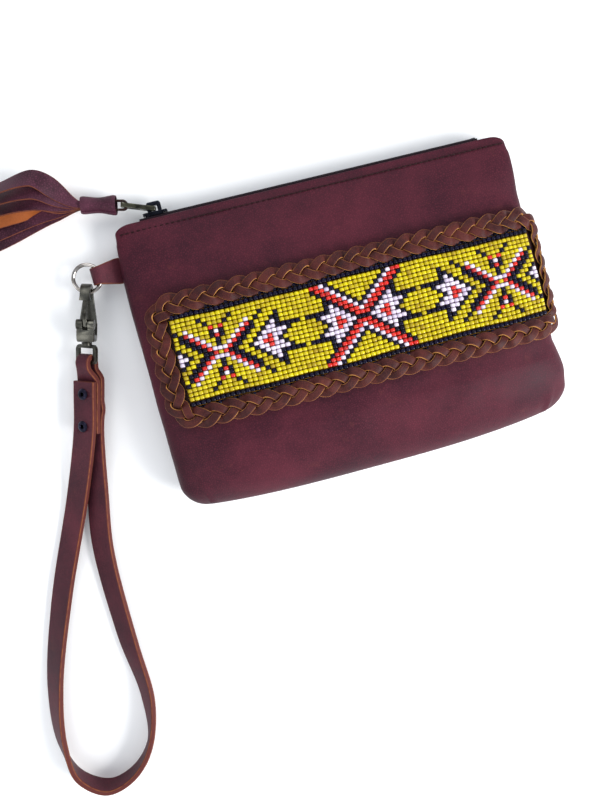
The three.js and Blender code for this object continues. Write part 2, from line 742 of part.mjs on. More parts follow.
function placeFringe(name, slot, geometry) {
  geometry.rotateZ(degToRad(FRINGE_ANGLE)).translate(FRINGE_X, FRINGE_Y, ZIP_Z);
  add(name, slot, geometry);
}

// A band along a list of points, with a width and a width direction at each
function bandAlong(points, acrossAt, widthAt, thick) {
  const rings = points.map((point, k) => {
    const before = points[Math.max(0, k - 1)];
    const after = points[Math.min(points.length - 1, k + 1)];
    const along = after.clone().sub(before).normalize();
    const across = acrossAt(k, along);
    const through = new THREE.Vector3().crossVectors(along, across).normalize();
    return bandRing(point, across, through, widthAt(k), thick);
  });
  return sweep(rings);
}

function thong() {
  const bend = PULL_SWING / 2 + GAP + THONG_THICK / 2;
  const end = STRIP_FROM - GAP;
  const points = [new THREE.Vector3(end, bend, 0), new THREE.Vector3(bend, bend, 0)];
  for (let k = 0; k <= BEND_STEPS; k++) {
    const angle = Math.PI / 2 + (k * Math.PI) / BEND_STEPS;
    points.push(new THREE.Vector3(bend * Math.cos(angle), bend * Math.sin(angle), 0));
  }
  points.push(new THREE.Vector3(bend, -bend, 0), new THREE.Vector3(end, -bend, 0));
  return bandAlong(points, () => UP, () => THONG_WIDTH, THONG_THICK);
}
placeFringe("fringe_thong", "leather_fringe", thong());

// The cap is wrapped tight at its waist and flares a little to each end
function cap() {
  const to = CAP_FROM + CAP_LENGTH;
  const waist = (CAP_FROM + to) / 2;
  const inside = [[CAP_BORE + CAP_PINCH, CAP_FROM], [CAP_BORE, waist], [CAP_BORE + CAP_PINCH / 2, to]];
  const outside = inside.map(([r, x]) => [r + CAP_WALL, x]);
  const profile = [...outside, ...inside.reverse(), outside[0]];
  const lathe = new THREE.LatheGeometry(profile.map(([r, x]) => new THREE.Vector2(r, x)), 18);
  return lathe.rotateZ(-Math.PI / 2);
}
placeFringe("fringe_cap", "leather_fringe", cap());

// The strips leave the cap as a stack, fan out and bend aside, the upper ones in a bow,
// and sink together until the lowest lies flat
function strip(index) {
  const order = index - (STRIPS - 1) / 2;
  const bow = (STRIP_BOW * Math.max(0, 2 * order)) / (STRIPS - 1);
  const points = [];
  const widths = [];
  for (let k = 0; k <= STRIP_CELLS; k++) {
    const share = k / STRIP_CELLS;
    const fan = smoothstep(share, ...STRIP_FAN_SHARES);
    const sink = smoothstep(share, ...STRIP_SINK_SHARES);
    const x = lerp(STRIP_FROM, STRIP_LENGTH, share);
    const bowed = Math.sin(Math.PI * clamp(inverseLerp(...STRIP_BOW_SHARES, share), 0, 1)) ** 2;
    const y = STRIP_SWEEP * share ** 2 - STRIP_SPREAD * order * fan - bow * bowed;
    const arch = STRIP_ARCH * index * fan * Math.sin(Math.PI * share);
    const z = STRIP_STEP * order + arch - (ZIP_Z - STACK_HALF - GAP) * sink;
    points.push(new THREE.Vector3(x, y, z));
    widths.push(lerp(STRIP_ROOT, STRIP_WIDTH, fan));
  }
  const across = (k, along) => new THREE.Vector3().crossVectors(UP, along).normalize();
  return bandAlong(points, across, (k) => widths[k], STRIP_THICK);
}
for (let k = 0; k < STRIPS; k++) {
  placeFringe(`fringe_strip_${k + 1}`, "leather_fringe", strip(k));
}

// Side tab folded round the ring
const SIDE = section(TAB_Y, 0);
const FOLD_X = -SIDE.half - TAB_LENGTH;
const RING_X = FOLD_X - RING_RADIUS;
const RING_INSIDE = RING_RADIUS - RING_WIRE;
const WIRE_REACH = RING_RADIUS - Math.sqrt(RING_INSIDE ** 2 - (TAB_TIP_WIDTH / 2) ** 2);
const FOLD_BEND = WIRE_REACH + GAP + TAB_THICK / 2;

function sideTab() {
  const rootX = -SIDE.half - GAP;
  const spread = TAB_THICK / 2 + GAP / 2;
  const share = TAB_SHOULDER / (rootX - FOLD_X);
  const ply = (side) => {
    const rootZ = SIDE.seam + side * spread;
    const shoulderZ = lerp(rootZ, RING_Z + side * FOLD_BEND, share);
    return [[rootX, rootZ, TAB_WIDTH], [rootX - TAB_SHOULDER, shoulderZ, TAB_WIDTH]];
  };
  const rows = ply(-1);
  for (let k = 0; k <= BEND_STEPS; k++) {
    const angle = (k * Math.PI) / BEND_STEPS;
    const [x, z] = [FOLD_X - FOLD_BEND * Math.sin(angle), RING_Z - FOLD_BEND * Math.cos(angle)];
    rows.push([x, z, TAB_TIP_WIDTH]);
  }
  rows.push(...ply(1).reverse());
  const points = rows.map(([x, z]) => new THREE.Vector3(x, TAB_Y, z));
  const across = new THREE.Vector3(0, 1, 0);
  return bandAlong(points, () => across, (k) => rows[k][2], TAB_THICK);
}
add("side_tab", "leather_maroon", sideTab());
const ring = new THREE.TorusGeometry(RING_RADIUS, RING_WIRE, 6, 24);
add("tab_ring", "ring_silver", ring.translate(RING_X, TAB_Y, RING_Z));

// Snap hook: L runs from its base to its crown, N across its loop, B through its thickness
const HOOK_TURN = degToRad(HOOK_ANGLE);
const HOOK_L = new THREE.Vector3(Math.cos(HOOK_TURN), Math.sin(HOOK_TURN), 0);
const HOOK_B = new THREE.Vector3(HOOK_L.y, -HOOK_L.x, 0);
const WIRE_AT = CROWN_AT + CROWN_IN - RING_WIRE - 3 * GAP;
const HOOK_BASE = new THREE.Vector3(RING_X, TAB_Y, HOOK_Z).addScaledVector(HOOK_L, -RING_RADIUS - WIRE_AT);
const HOOK_FRAME = new THREE.Matrix4().makeBasis(HOOK_L, UP, HOOK_B).setPosition(HOOK_BASE);

function crossPin(radius, length, sides) {
  const bar = new THREE.CylinderGeometry(radius, radius, length, sides).rotateX(Math.PI / 2);
  return bar.translate(GATE_AT, GATE_OFF, 0);
}

// The loop's outline, open where the gate closes it
function hookOutline() {
  const seat = HEAD_RADIUS + 2 * GAP;
  const cheek = GATE_AT - EAR_RADIUS;
  const shape = new THREE.Shape();
  shape.moveTo(0, -HOOK_FOOT_HALF);
  shape.lineTo(HOOK_SHOULDER, -HOOK_BASE_HALF);
  shape.lineTo(CROWN_AT, -CROWN_OUT);
  shape.absarc(CROWN_AT, 0, CROWN_OUT, -Math.PI / 2, Math.PI / 2);
  shape.lineTo(GATE_TIP + GAP, CROWN_OUT);
  shape.lineTo(GATE_TIP + GAP, CROWN_IN);
  shape.lineTo(CROWN_AT, CROWN_IN);
  shape.absarc(CROWN_AT, 0, CROWN_IN, Math.PI / 2, -Math.PI / 2, true);
  shape.lineTo(FLOOR, -seat);
  shape.lineTo(FLOOR, seat);
  shape.lineTo(cheek, seat);
  shape.lineTo(cheek, HOOK_BASE_HALF);
  shape.lineTo(HOOK_SHOULDER, HOOK_BASE_HALF);
  shape.lineTo(0, HOOK_FOOT_HALF);
  return shape;
}

// Its thickness tapers from the ears to the crown
function hookTaper() {
  const tip = CROWN_AT + CROWN_OUT;
  const crown = HOOK_THICK / 2;
  const half = [[0, EAR_HALF], [GATE_AT, EAR_HALF], [CROWN_AT, crown], [tip, crown]];
  const shape = outline([...half, ...half.map(([l, b]) => [l, -b]).reverse()]);
  return slabOf(shape, 4 * CROWN_OUT).rotateX(Math.PI / 2);
}

function hookBody() {
  const seat = HEAD_RADIUS + 2 * GAP;
  let body = solid(slabOf(hookOutline(), 2 * EAR_HALF, HOOK_SOFT, 6));
  body = body.intersect(solid(hookTaper()));
  body = body.add(solid(crossPin(EAR_RADIUS, 2 * EAR_HALF, 14)));
  const arm = box(FLOOR, GATE_AT, seat, HOOK_BASE_HALF + GAP, -EAR_HALF + GAP, EAR_HALF - GAP);
  body = body.add(solid(arm));
  const slot = GATE_THICK / 2 + GAP;
  const mouth = [GATE_AT - EAR_RADIUS - GAP, GATE_AT + 2 * EAR_RADIUS];
  body = body.subtract(solid(box(...mouth, 0, 2 * CROWN_OUT, -slot, slot)));
  body = body.subtract(solid(crossPin(PIN_RADIUS + GAP, 3 * EAR_HALF, 12)));
  const neck = new THREE.CylinderGeometry(POST_RADIUS + GAP, POST_RADIUS + GAP, 4 * FLOOR, 14);
  return body.subtract(solid(neck.rotateZ(Math.PI / 2)));
}
add("snap_hook", "hook_metal", geometryOf(hookBody()).applyMatrix4(HOOK_FRAME));

// The gate's lever runs from its knuckle to the hook's tip, with a thumb rest on its back
function gate() {
  const thumb = (GATE_AT + GATE_TIP) / 2;
  const shape = outline([
    [GATE_AT, GATE_OFF - GATE_KNUCKLE],
    [GATE_TIP, CROWN_IN + GAP],
    [GATE_TIP, CROWN_OUT - GAP],
    [thumb + THUMB_LENGTH / 2, CROWN_OUT - GAP],
    [thumb, CROWN_OUT + THUMB_RISE],
    [thumb - THUMB_LENGTH / 2, CROWN_OUT + THUMB_RISE],
    [GATE_AT, GATE_OFF + GATE_KNUCKLE],
  ]);
  const lever = solid(slabOf(shape, GATE_THICK)).add(solid(crossPin(GATE_KNUCKLE, GATE_THICK, 14)));
  return lever.subtract(solid(crossPin(PIN_RADIUS + GAP, 3 * GATE_THICK, 12)));
}
add("hook_gate", "hook_metal", geometryOf(gate()).applyMatrix4(HOOK_FRAME));
add("gate_pin", "hook_metal", crossPin(PIN_RADIUS, 2 * EAR_HALF, 12).applyMatrix4(HOOK_FRAME));

// Swivel eye: a headed post in the hook's base and a flat eye that leans with the strap
const STRAP_E = UP.clone().multiplyScalar(Math.cos(LEAN)).addScaledVector(HOOK_B, Math.sin(LEAN));
const STRAP_M = HOOK_B.clone().multiplyScalar(Math.cos(LEAN)).addScaledVector(UP, -Math.sin(LEAN));
const EYE_FRAME = new THREE.Matrix4().makeBasis(HOOK_L, STRAP_E, STRAP_M).setPosition(HOOK_BASE);
const EYE_HALF = STRAP_NECK / 2 + 2 * GAP + EYE_BAR;
const EYE_TOP = -GAP - COLLAR;

function swivelEye() {
  const profile = [
    [0, EYE_TOP - EYE_BAR / 4],
    [HEAD_RADIUS + GAP, EYE_TOP - EYE_BAR / 4],
    [HEAD_RADIUS + GAP, -GAP],
    [POST_RADIUS, -GAP],
    [POST_RADIUS, FLOOR + GAP],
    [HEAD_RADIUS, FLOOR + GAP],
    [HEAD_RADIUS, FLOOR + GAP + HEAD_THICK],
    [0, FLOOR + GAP + HEAD_THICK],
  ];
  const post = new THREE.LatheGeometry(profile.map(([r, l]) => new THREE.Vector2(r, l)), 14);
  post.rotateZ(-Math.PI / 2);
  const shape = roundedRect(EYE_TOP - EYE_DEPTH, EYE_TOP, -EYE_HALF, EYE_HALF, EYE_ROUND);
  const window = roundedRect(
    EYE_TOP - EYE_DEPTH + EYE_BAR,
    EYE_TOP - EYE_BAR,
    -EYE_HALF + EYE_BAR,
    EYE_HALF - EYE_BAR,
    HOLE_ROUND,
    THREE.Path
  );
  shape.holes.push(window);
  return solid(post).add(solid(slabOf(shape, EYE_BAR, 0, 3)));
}
add("swivel_eye", "hook_metal", geometryOf(swivelEye()).applyMatrix4(EYE_FRAME));

// Wrist strap: from its cut end down the outer arm, round the loop, up to the eye's bar and back as a tail
const BAR = HOOK_BASE.clone().addScaledVector(HOOK_L, EYE_TOP - EYE_DEPTH + EYE_BAR / 2);
const BEND = EYE_BAR / Math.SQRT2 + GAP + STRAP_THICK / 2;

function strapAt(along, off) {
  return BAR.clone().addScaledVector(HOOK_L, -along).addScaledVector(STRAP_M, off);
}

// The loop's path as shares of its reach and length from the eye's bar,
// with its share of the lean and the degrees by which that turns from the upper strap's
const LOOP = [
  [0.369, 0.292, 1, 0],
  [0.708, 0.514, 0.93, 0],
  [0.938, 0.718, 0.72, 5],
  [1, 0.866, 0.55, 25],
  [0.954, 0.949, 0.72, 65],
  [0.8, 1, 0.85, 100],
  [0.615, 0.986, 0.82, 95],
  [0.462, 0.931, 0.66, 55],
  [0.315, 0.81, 0.75, 15],
  [0.308, 0.653, 0.9, 0],
  [0.262, 0.426, 1, 0],
  [0.177, 0.292, 1, 0],
];

// A point of the loop, standing on the table, and the strap's width there
function loopAt([reach, length, leaning, turning]) {
  const lean = LEAN * leaning;
  const side = HOOK_B.clone().applyAxisAngle(UP, degToRad(turning));
  const across = UP.clone().multiplyScalar(Math.cos(lean)).addScaledVector(side, Math.sin(lean));
  const z = (STRAP_WIDTH * Math.cos(lean) + STRAP_THICK * Math.sin(lean)) / 2 + 2 * GAP;
  const at = new THREE.Vector3(BAR.x - LOOP_REACH * reach, BAR.y - LOOP_LENGTH * length, z);
  return [at, across.multiplyScalar(STRAP_WIDTH)];
}

// Knots of the strap's path, each with its width; it narrows where it passes the eye
function strapKnots() {
  const upper = (along, off, width = STRAP_WIDTH) => {
    return [strapAt(along, off), STRAP_E.clone().multiplyScalar(width)];
  };
  const [first, second] = RIVETS_AT;
  const middle = (first + second) / 2;
  const knots = [upper(first - STRAP_END, OUTER_OFF), upper(first, OUTER_OFF)];
  knots.push(upper(second + ARM_PARTS, OUTER_OFF), ...LOOP.map(loopAt));
  knots.push(upper(second + ARM_JOINS, INNER_OFF), upper(second - STRAP_TAIL, INNER_OFF));
  knots.push(upper(middle, INNER_OFF + PLY_BULGE), upper(first + STRAP_TAIL, INNER_OFF));
  knots.push(upper(first, INNER_OFF), upper(first / 2, INNER_OFF - GAP));
  knots.push(upper(BEND, BEND + GAP, STRAP_NECK));
  for (let k = 0; k <= BEND_STEPS; k += 2) {
    const angle = (k * Math.PI) / BEND_STEPS;
    knots.push(upper(-BEND * Math.sin(angle), BEND * Math.cos(angle), STRAP_NECK));
  }
  knots.push(upper(BEND, -BEND + 2 * GAP, STRAP_NECK), upper((BEND + first) / 2, TAIL_OFF - GAP));
  knots.push(upper(first, TAIL_OFF), upper(middle, TAIL_OFF), upper(second + STRAP_TAIL, TAIL_OFF));
  return knots;
}

function strap() {
  const knots = strapKnots();
  const path = new THREE.CatmullRomCurve3(knots.map(([point]) => point));
  const widths = new THREE.CatmullRomCurve3(knots.map(([, across]) => across));
  const count = 2 * (knots.length - 1);
  const points = path.getPoints(count);
  const across = widths.getPoints(count);
  const acrossAt = (k) => across[k].clone().normalize();
  const widthAt = (k) => across[k].length();
  let body = solid(bandAlong(points, acrossAt, widthAt, STRAP_THICK));
  const reach = 8 * STRAP_LAYER;
  for (const along of RIVETS_AT) {
    const bore = new THREE.CylinderGeometry(RIVET_SHANK + GAP, RIVET_SHANK + GAP, reach, 10);
    body = body.subtract(solid(bore.applyMatrix4(rivetFrame(along))));
  }
  return body;
}

function rivetFrame(along) {
  const frame = new THREE.Matrix4().makeBasis(HOOK_L, STRAP_M, STRAP_E.clone().negate());
  return frame.setPosition(strapAt(along, TAIL_OFF));
}

function rivet(along) {
  const half = STRAP_LAYER + STRAP_THICK / 2 + GAP;
  const brim = half + RIVET_BRIM;
  const profile = [
    [RIVET_HOLE, -brim],
    [RIVET_HEAD - RIVET_BRIM, -brim],
    [RIVET_HEAD, -half],
    [RIVET_SHANK, -half],
    [RIVET_SHANK, half],
    [RIVET_HEAD, half],
    [RIVET_HEAD - RIVET_BRIM, brim],
    [RIVET_HOLE, brim],
    [RIVET_HOLE, -brim],
  ];
  const lathe = new THREE.LatheGeometry(profile.map(([r, l]) => new THREE.Vector2(r, l)), 12);
  return lathe.applyMatrix4(rivetFrame(along));
}
add("wrist_strap", "leather_maroon", geometryOf(strap()));
RIVETS_AT.forEach((along, k) => add(`strap_rivet_${k + 1}`, "rivet_dark", rivet(along)));

export default root;
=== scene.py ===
import math

import bmesh
import bpy
import numpy as np
from mathutils import Matrix, Vector, noise


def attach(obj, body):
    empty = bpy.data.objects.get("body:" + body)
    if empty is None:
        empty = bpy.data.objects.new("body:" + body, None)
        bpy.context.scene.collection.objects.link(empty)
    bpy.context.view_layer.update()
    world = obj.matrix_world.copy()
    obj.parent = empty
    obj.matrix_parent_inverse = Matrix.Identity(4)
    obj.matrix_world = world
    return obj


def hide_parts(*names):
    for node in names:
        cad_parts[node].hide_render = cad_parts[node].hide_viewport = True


# A beaded leather wrist clutch lying on its back. Lengths are in millimetres until a mesh is made.
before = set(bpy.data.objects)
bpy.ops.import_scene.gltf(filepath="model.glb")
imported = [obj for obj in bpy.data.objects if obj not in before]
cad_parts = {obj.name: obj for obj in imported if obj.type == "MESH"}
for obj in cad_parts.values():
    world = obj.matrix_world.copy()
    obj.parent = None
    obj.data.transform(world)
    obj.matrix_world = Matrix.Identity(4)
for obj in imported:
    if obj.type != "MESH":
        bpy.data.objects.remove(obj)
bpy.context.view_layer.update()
MM = 0.001
GAP = 0.3

# Pouch
POUCH_HALF = 97.5
RIM_Y, BOTTOM_Y = 70.0, -71.0
LEATHER, RIM_LIP = 1.8, 0.55
MOUTH_DEPTH, BELLY_DEPTH, BELLY_Y = 14.0, 34.0, -38.0
FOLD_HEIGHT, FRONT_ROLL, BACK_ROLL, CORNER = 13.0, 34.0, 20.0, 12.0
SEAM_SHARE, SIDE_POWER, BACK_POWER, MOUTH_POWER = 0.3, 4.0, 6.0, 14.0
MOUTH_TAPER, MOUTH_FROM = 2.0, 34.0
RIM_ROUND_FROM, RIM_ROUND_RUN, RIM_ROUND_DROP = 87.0, 8.7, 4.6
BOW_LEFT, BOW_RIGHT, BOW_FROM = 4.5, 6.5, 34.0
CORNER_FLARE, CORNER_FLARE_FROM, CORNER_FLARE_RUN = 3.5, 31.0, 22.0
WRINKLES = ((0.75, 34, 3.1), (0.28, 11, 8.4))  # depth, size and seed
SEAM_DEPTH, SEAM_WIDTH = 0.7, 0.9
STITCH_Y, STITCH_STEP, STITCH_SINK, HEM_RISE = 66.3, 2.7, 0.3, 0.3
BOX_LINE_X, BOX_LINE_SLANT, BOX_LINE_WIDTH, BOX_LINE_DEPTH = 84.0, 0.12, 1.1, 0.9
DENTS, DENT_LENGTH, DENT_WIDTH, DENT_DEPTH = ((86.0, -61.5), (76.0, -65.0)), 2.2, 3.0, 1.4

# Bead band and braid
BAND_X, BAND_Y = 6.0, 3.5
BEAD_PITCH, BEAD_ROW, BEAD_SIZE = 2.3, 1.95, (1.12, 1.0, 1.14)
HALF_COLUMNS, HALF_ROWS, EDGE_ROWS = 37, 9, 2
BACKING_LOW, BACKING_TOP, BEAD_MIDDLE = 0.45, 1.65, 3.05
WARP_THICK, WARP_WAVE = 0.36, 0.12
FRAME_U, FRAME_V = 92.55, 26.0
BACKING_HALF = (FRAME_U + 2.65, FRAME_V - 0.5)
OUTER_ROW_SINK, SIDE_HUG, RIGHT_SQUEEZE = 1.1, 1.2, 0.4
BRAID_WIDTH, BRAID_CORNER, BRAID_PERIODS = 10.8, 9.0, 19
BRAID_STRAIGHTS = (2 * (FRAME_V - BRAID_CORNER), 2 * (FRAME_U - BRAID_CORNER))
BRAID_BEND = BRAID_CORNER * math.pi / 2
BRAID_AROUND = 2 * sum(BRAID_STRAIGHTS) + 4 * BRAID_BEND
LACE_WIDTH, LACE_THICK, LACE_CROWN, LACE_LIFT, LACE_LEVEL = 4.0, 0.95, 0.12, 0.9, 3.6

# Zip: the tape's bend is a row of y and the distance from the zip's middle
ZIP_Y, ZIP_Z, ZIP_HALF = 71.5, 7.0, 82.5
TOOTH_STEP, TOOTH_SIZE = 2.0, (0.92, 0.78, 0.96)
COMB_FROM, COMB_TO, COMB_SPARE = -76.5, 80.2, 0.4
TAPE_BEND = ((71.62, 2.95), (71.6, 3.9), (71.3, 4.42), (70.6, 4.6), (66, 4.6), (61.7, 4.62))
TAPE_WALL, TAPE_EDGE = 0.26, 0.14
TAPE_END_FROM, TAPE_END_TO, TAPE_END_Y, TAPE_END_SAG = 81.0, 93.2, 69.0, 1.6
TAPE_END_HALF, TAPE_END_THICK = 4.7, 0.6
CORD_OFF, CORD_WIDTH, CORD_THICK = 2.1, 1.7, 1.0

# Fringe: each strip has its width, its twist in degrees and its wave
PULL_AT = (-74.77934, 75.22066)
PULL_LENGTH, PULL_ANGLE, FRINGE_ANGLE = 14.5, 160.0, 167.0
STRIP_ROOT, STRIP_THICK, STRIP_LENGTH = 2.6, 0.6, 84.0
STRIP_SPREAD, STRIP_SWEEP, STRIP_BOW, STRIP_ARCH = 4.1, 11.6, 2.4, 1.5
LOWER_FAN = 1.22
STRIPS = (
    (7.4, -4, 0.4), (7.6, 8, -0.4), (7.2, 172, 0.3), (8.8, 42, 0.3), (9.2, 46, -0.3), (9.0, 50, 0.0),
)
STRIP_STEP = STRIP_THICK + GAP
STACK_HALF = ((len(STRIPS) - 1) * STRIP_STEP + STRIP_THICK) / 2
CAP_FROM, CAP_LENGTH, CAP_WALL, CAP_LAP = 3.0, 16.0, 0.55, 0.55
STRIP_START = CAP_FROM + CAP_LENGTH / 3
END_BAR, THONG_WIDTH, THONG_THICK = (1.4, 2.0), 2.6, 1.0

# Tab, ring, hook and strap
TAB_Y = 51.5
TAB_WIDTH, TAB_TIP, TAB_THICK = 12.0, 7.6, 1.5
FOLD_X, RING_X, RING_Z = -107.02739, -113.42739, 8.28072
RING_RADIUS, RING_WIRE = 6.4, 0.9
HOOK_ANGLE, HOOK_Z, EYE_BAR, EYE_WIRE = 73.8, 9.38072, 39.35, 1.7
STRAP_WIDTH, STRAP_NECK, STRAP_THICK, STRAP_LEAN = 12.0, 7.2, 2.6, 60.0
RIVETS_AT, RIVET_BORE = (15.0, 30.5), 1.8


def placed(name, data):
    made = bpy.data.objects.new(name, data)
    bpy.context.scene.collection.objects.link(made)
    return made


# Camera at the photograph's viewpoint
def make_camera():
    right = Vector((0.96506552, -0.2404999, 0.10396315))
    down = Vector((-0.25321931, -0.95803731, 0.1343298))
    ahead = Vector((0.06729427, -0.15596254, -0.98546799))
    at = Vector((-0.05358, 0.02412, 0.35011))
    data = bpy.data.cameras.new("camera")
    data.lens, data.sensor_width = 31.5, 36
    data.clip_start, data.clip_end = 0.01, 20
    camera = placed("camera", data)
    camera.matrix_world = Matrix.Translation(at) @ Matrix((right, -down, -ahead)).transposed().to_4x4()
    bpy.context.scene.camera = camera


make_camera()


# Node wiring: each input is a value or another node's socket
def wire(tree, kind, inputs=None, **settings):
    made = tree.nodes.new(kind)
    for name, value in settings.items():
        setattr(made, name, value)
    for name, value in (inputs or {}).items():
        if isinstance(value, bpy.types.NodeSocket):
            tree.links.new(value, made.inputs[name])
        else:
            made.inputs[name].default_value = value
    return made


def output(tree, kind, inputs=None, key=0, **settings):
    return wire(tree, kind, inputs, **settings).outputs[key]


def linear(*channels):
    shares = [c / 255 for c in channels]
    return tuple(s / 12.92 if s <= 10 / 255 else ((s + 0.055) / 1.055) ** 2.4 for s in shares) + (1.0,)


def math_node(tree, operation, a, b=0.0):
    return output(tree, "ShaderNodeMath", {0: a, 1: b}, operation=operation)


def times(tree, a, b):
    return math_node(tree, "MULTIPLY", a, b)


def plus(tree, a, b):
    return math_node(tree, "ADD", a, b)


def ramp(tree, value, low, high, to_low=0.0, to_high=1.0):
    limits = {"From Min": low, "From Max": high, "To Min": to_low, "To Max": to_high}
    return output(tree, "ShaderNodeMapRange", {"Value": value, **limits})


# Each colour is a socket or three channels from 0 to 255
def mixed(tree, share, *colours):
    first, second = (linear(*c) if isinstance(c, tuple) else c for c in colours)
    return output(tree, "ShaderNodeMix", {0: share, 6: first, 7: second}, 2, data_type="RGBA")


def object_place(tree):
    return output(tree, "ShaderNodeTexCoord", key="Object")


def speckle(tree, scale, detail=3.0, roughness=0.55, place=None):
    look = {"Scale": scale, "Detail": detail, "Roughness": roughness}
    return output(tree, "ShaderNodeTexNoise", {"Vector": place or object_place(tree), **look}, "Fac")


def attribute(tree, name):
    return output(tree, "ShaderNodeAttribute", key="Fac", attribute_name=name)


# Shared effects
def effect_group(name, inputs, outputs):
    group = bpy.data.node_groups.new(name, "ShaderNodeTree")
    for socket, value in inputs.items():
        made = group.interface.new_socket(socket, in_out="INPUT", socket_type="NodeSocketFloat")
        made.default_value = value
    for socket in outputs:
        group.interface.new_socket(socket, in_out="OUTPUT", socket_type="NodeSocketFloat")
    return group, wire(group, "NodeGroupInput").outputs, object_place(group)


def hide_grain_group():
    group, given, place = effect_group(
        "hide_grain", {"Grain": 1000.0, "Mottle": 26.0}, ("Height", "Shade", "Scuff")
    )
    cell = {"Vector": place, "Scale": given["Grain"]}
    cells = output(group, "ShaderNodeTexVoronoi", cell, "Distance", feature="DISTANCE_TO_EDGE")
    pebbles = ramp(group, cells, 0.0, 0.32)
    creases = speckle(group, 260.0, 4.0, 0.6, place)
    broad = speckle(group, given["Mottle"], 5.0, 0.6, place)
    height = plus(group, times(group, pebbles, 0.55), times(group, creases, 0.9))
    shade = plus(group, times(group, broad, 0.8), times(group, pebbles, 0.2))
    scuff = ramp(group, speckle(group, 95.0, 6.0, 0.7, place), 0.6, 0.78)
    shade = ramp(group, shade, 0.35, 0.72)
    wire(group, "NodeGroupOutput", {"Height": height, "Shade": shade, "Scuff": scuff})
    return group


def metal_wear_group():
    group, given, place = effect_group("metal_wear", {"Scale": 300.0}, ("Tarnish", "Scratch"))
    cloud = speckle(group, given["Scale"], 5.0, 0.5, place)
    brushed = output(group, "ShaderNodeMapping", {"Vector": place, "Scale": (1.0, 0.12, 1.0)})
    scratch = speckle(group, 5200.0, 2.0, 0.5, brushed)
    wire(group, "NodeGroupOutput", {"Tarnish": ramp(group, cloud, 0.38, 0.66), "Scratch": scratch})
    return group


HIDE_GRAIN = hide_grain_group()
METAL_WEAR = metal_wear_group()


def new_material(name, **constants):
    material = bpy.data.materials.new(name)
    material.use_nodes = True
    shader = material.node_tree.nodes["Principled BSDF"]
    for socket, value in constants.items():
        shader.inputs[socket.replace("_", " ")].default_value = value
    return material, material.node_tree, shader


def paint(tree, shader, colour, roughness=None):
    tree.links.new(colour, shader.inputs["Base Color"])
    if roughness:
        tree.links.new(roughness, shader.inputs["Roughness"])


def bump(tree, shader, height, distance, strength=1.0):
    look = {"Height": height, "Distance": distance, "Strength": strength}
    tree.links.new(output(tree, "ShaderNodeBump", look), shader.inputs["Normal"])


# Leather: a cut edge that is worn bare in places and a rough flesh side, where the mesh marks them
def hide(name, dark, light, scuff, grain=1000.0, mottle=26.0, gloss=0.18, edge=None, bare=None,
         worn=(0.32, 0.58), flesh=None):
    material, tree, shader = new_material(name, Specular_IOR_Level=gloss)
    look = wire(tree, "ShaderNodeGroup", {"Grain": grain, "Mottle": mottle}, node_tree=HIDE_GRAIN).outputs
    colour = mixed(tree, look["Shade"], dark, light)
    colour = mixed(tree, times(tree, look["Scuff"], 0.3), colour, scuff)
    roughness = ramp(tree, look["Shade"], 0.0, 1.0, 0.5, 0.64)
    if flesh:
        nap = mixed(tree, speckle(tree, 900.0, 4.0), tuple(c * 0.82 for c in flesh), flesh)
        colour = mixed(tree, attribute(tree, "flesh"), colour, nap)
    if edge:
        mark = attribute(tree, "edge")
        rubbed = ramp(tree, speckle(tree, 420.0), *worn, 0.15, 1.0)
        colour = mixed(tree, ramp(tree, mark, 0.1, 0.45), colour, edge)
        colour = mixed(tree, times(tree, ramp(tree, mark, 0.6, 0.95), rubbed), colour, bare)
        roughness = plus(tree, roughness, times(tree, mark, 0.15))
    paint(tree, shader, colour, roughness)
    bump(tree, shader, look["Height"], 0.00012, 0.5)
    return material


# Glass beads: a random tone per bead between deep and clear, and painted shade at each bead's ends (the rim
# mark), where it meets its neighbours
def bead_glass(name, colour, deep, rim, gloss):
    material, tree, shader = new_material(name, IOR=1.5, Specular_IOR_Level=gloss)
    tone = attribute(tree, "tone")
    glass = mixed(tree, tone, deep, colour)
    # Painted shade: the rim colour darkens the bead towards its ends
    glass = mixed(tree, ramp(tree, attribute(tree, "rim"), 0.5, 1.0), glass, rim)
    paint(tree, shader, glass, ramp(tree, tone, 0.0, 1.0, 0.34, 0.2))
    bump(tree, shader, speckle(tree, 900.0, 2.0), 0.00006, 0.5)
    return material


def metal(name, bright, dull, rough, scale=300.0):
    material, tree, shader = new_material(name, Metallic=1.0)
    wear = wire(tree, "ShaderNodeGroup", {"Scale": scale}, node_tree=METAL_WEAR).outputs
    colour = mixed(tree, wear["Tarnish"], bright, dull)
    spread = plus(tree, wear["Tarnish"], times(tree, wear["Scratch"], 0.5))
    paint(tree, shader, colour, ramp(tree, spread, 0.0, 1.5, *rough))
    bump(tree, shader, wear["Scratch"], 0.00003, 0.6)
    return material


def woven(name, colour, light, scale=1500.0):
    material, tree, shader = new_material(name, Roughness=0.85, Specular_IOR_Level=0.2)
    thread = {"Vector": object_place(tree), "Scale": scale, "Distortion": 0.4}
    warp = output(tree, "ShaderNodeTexWave", thread, "Fac", bands_direction="X")
    weft = output(tree, "ShaderNodeTexWave", thread, "Fac", bands_direction="DIAGONAL")
    weave = times(tree, warp, weft)
    paint(tree, shader, mixed(tree, weave, colour, light))
    bump(tree, shader, weave, 0.0001)
    return material


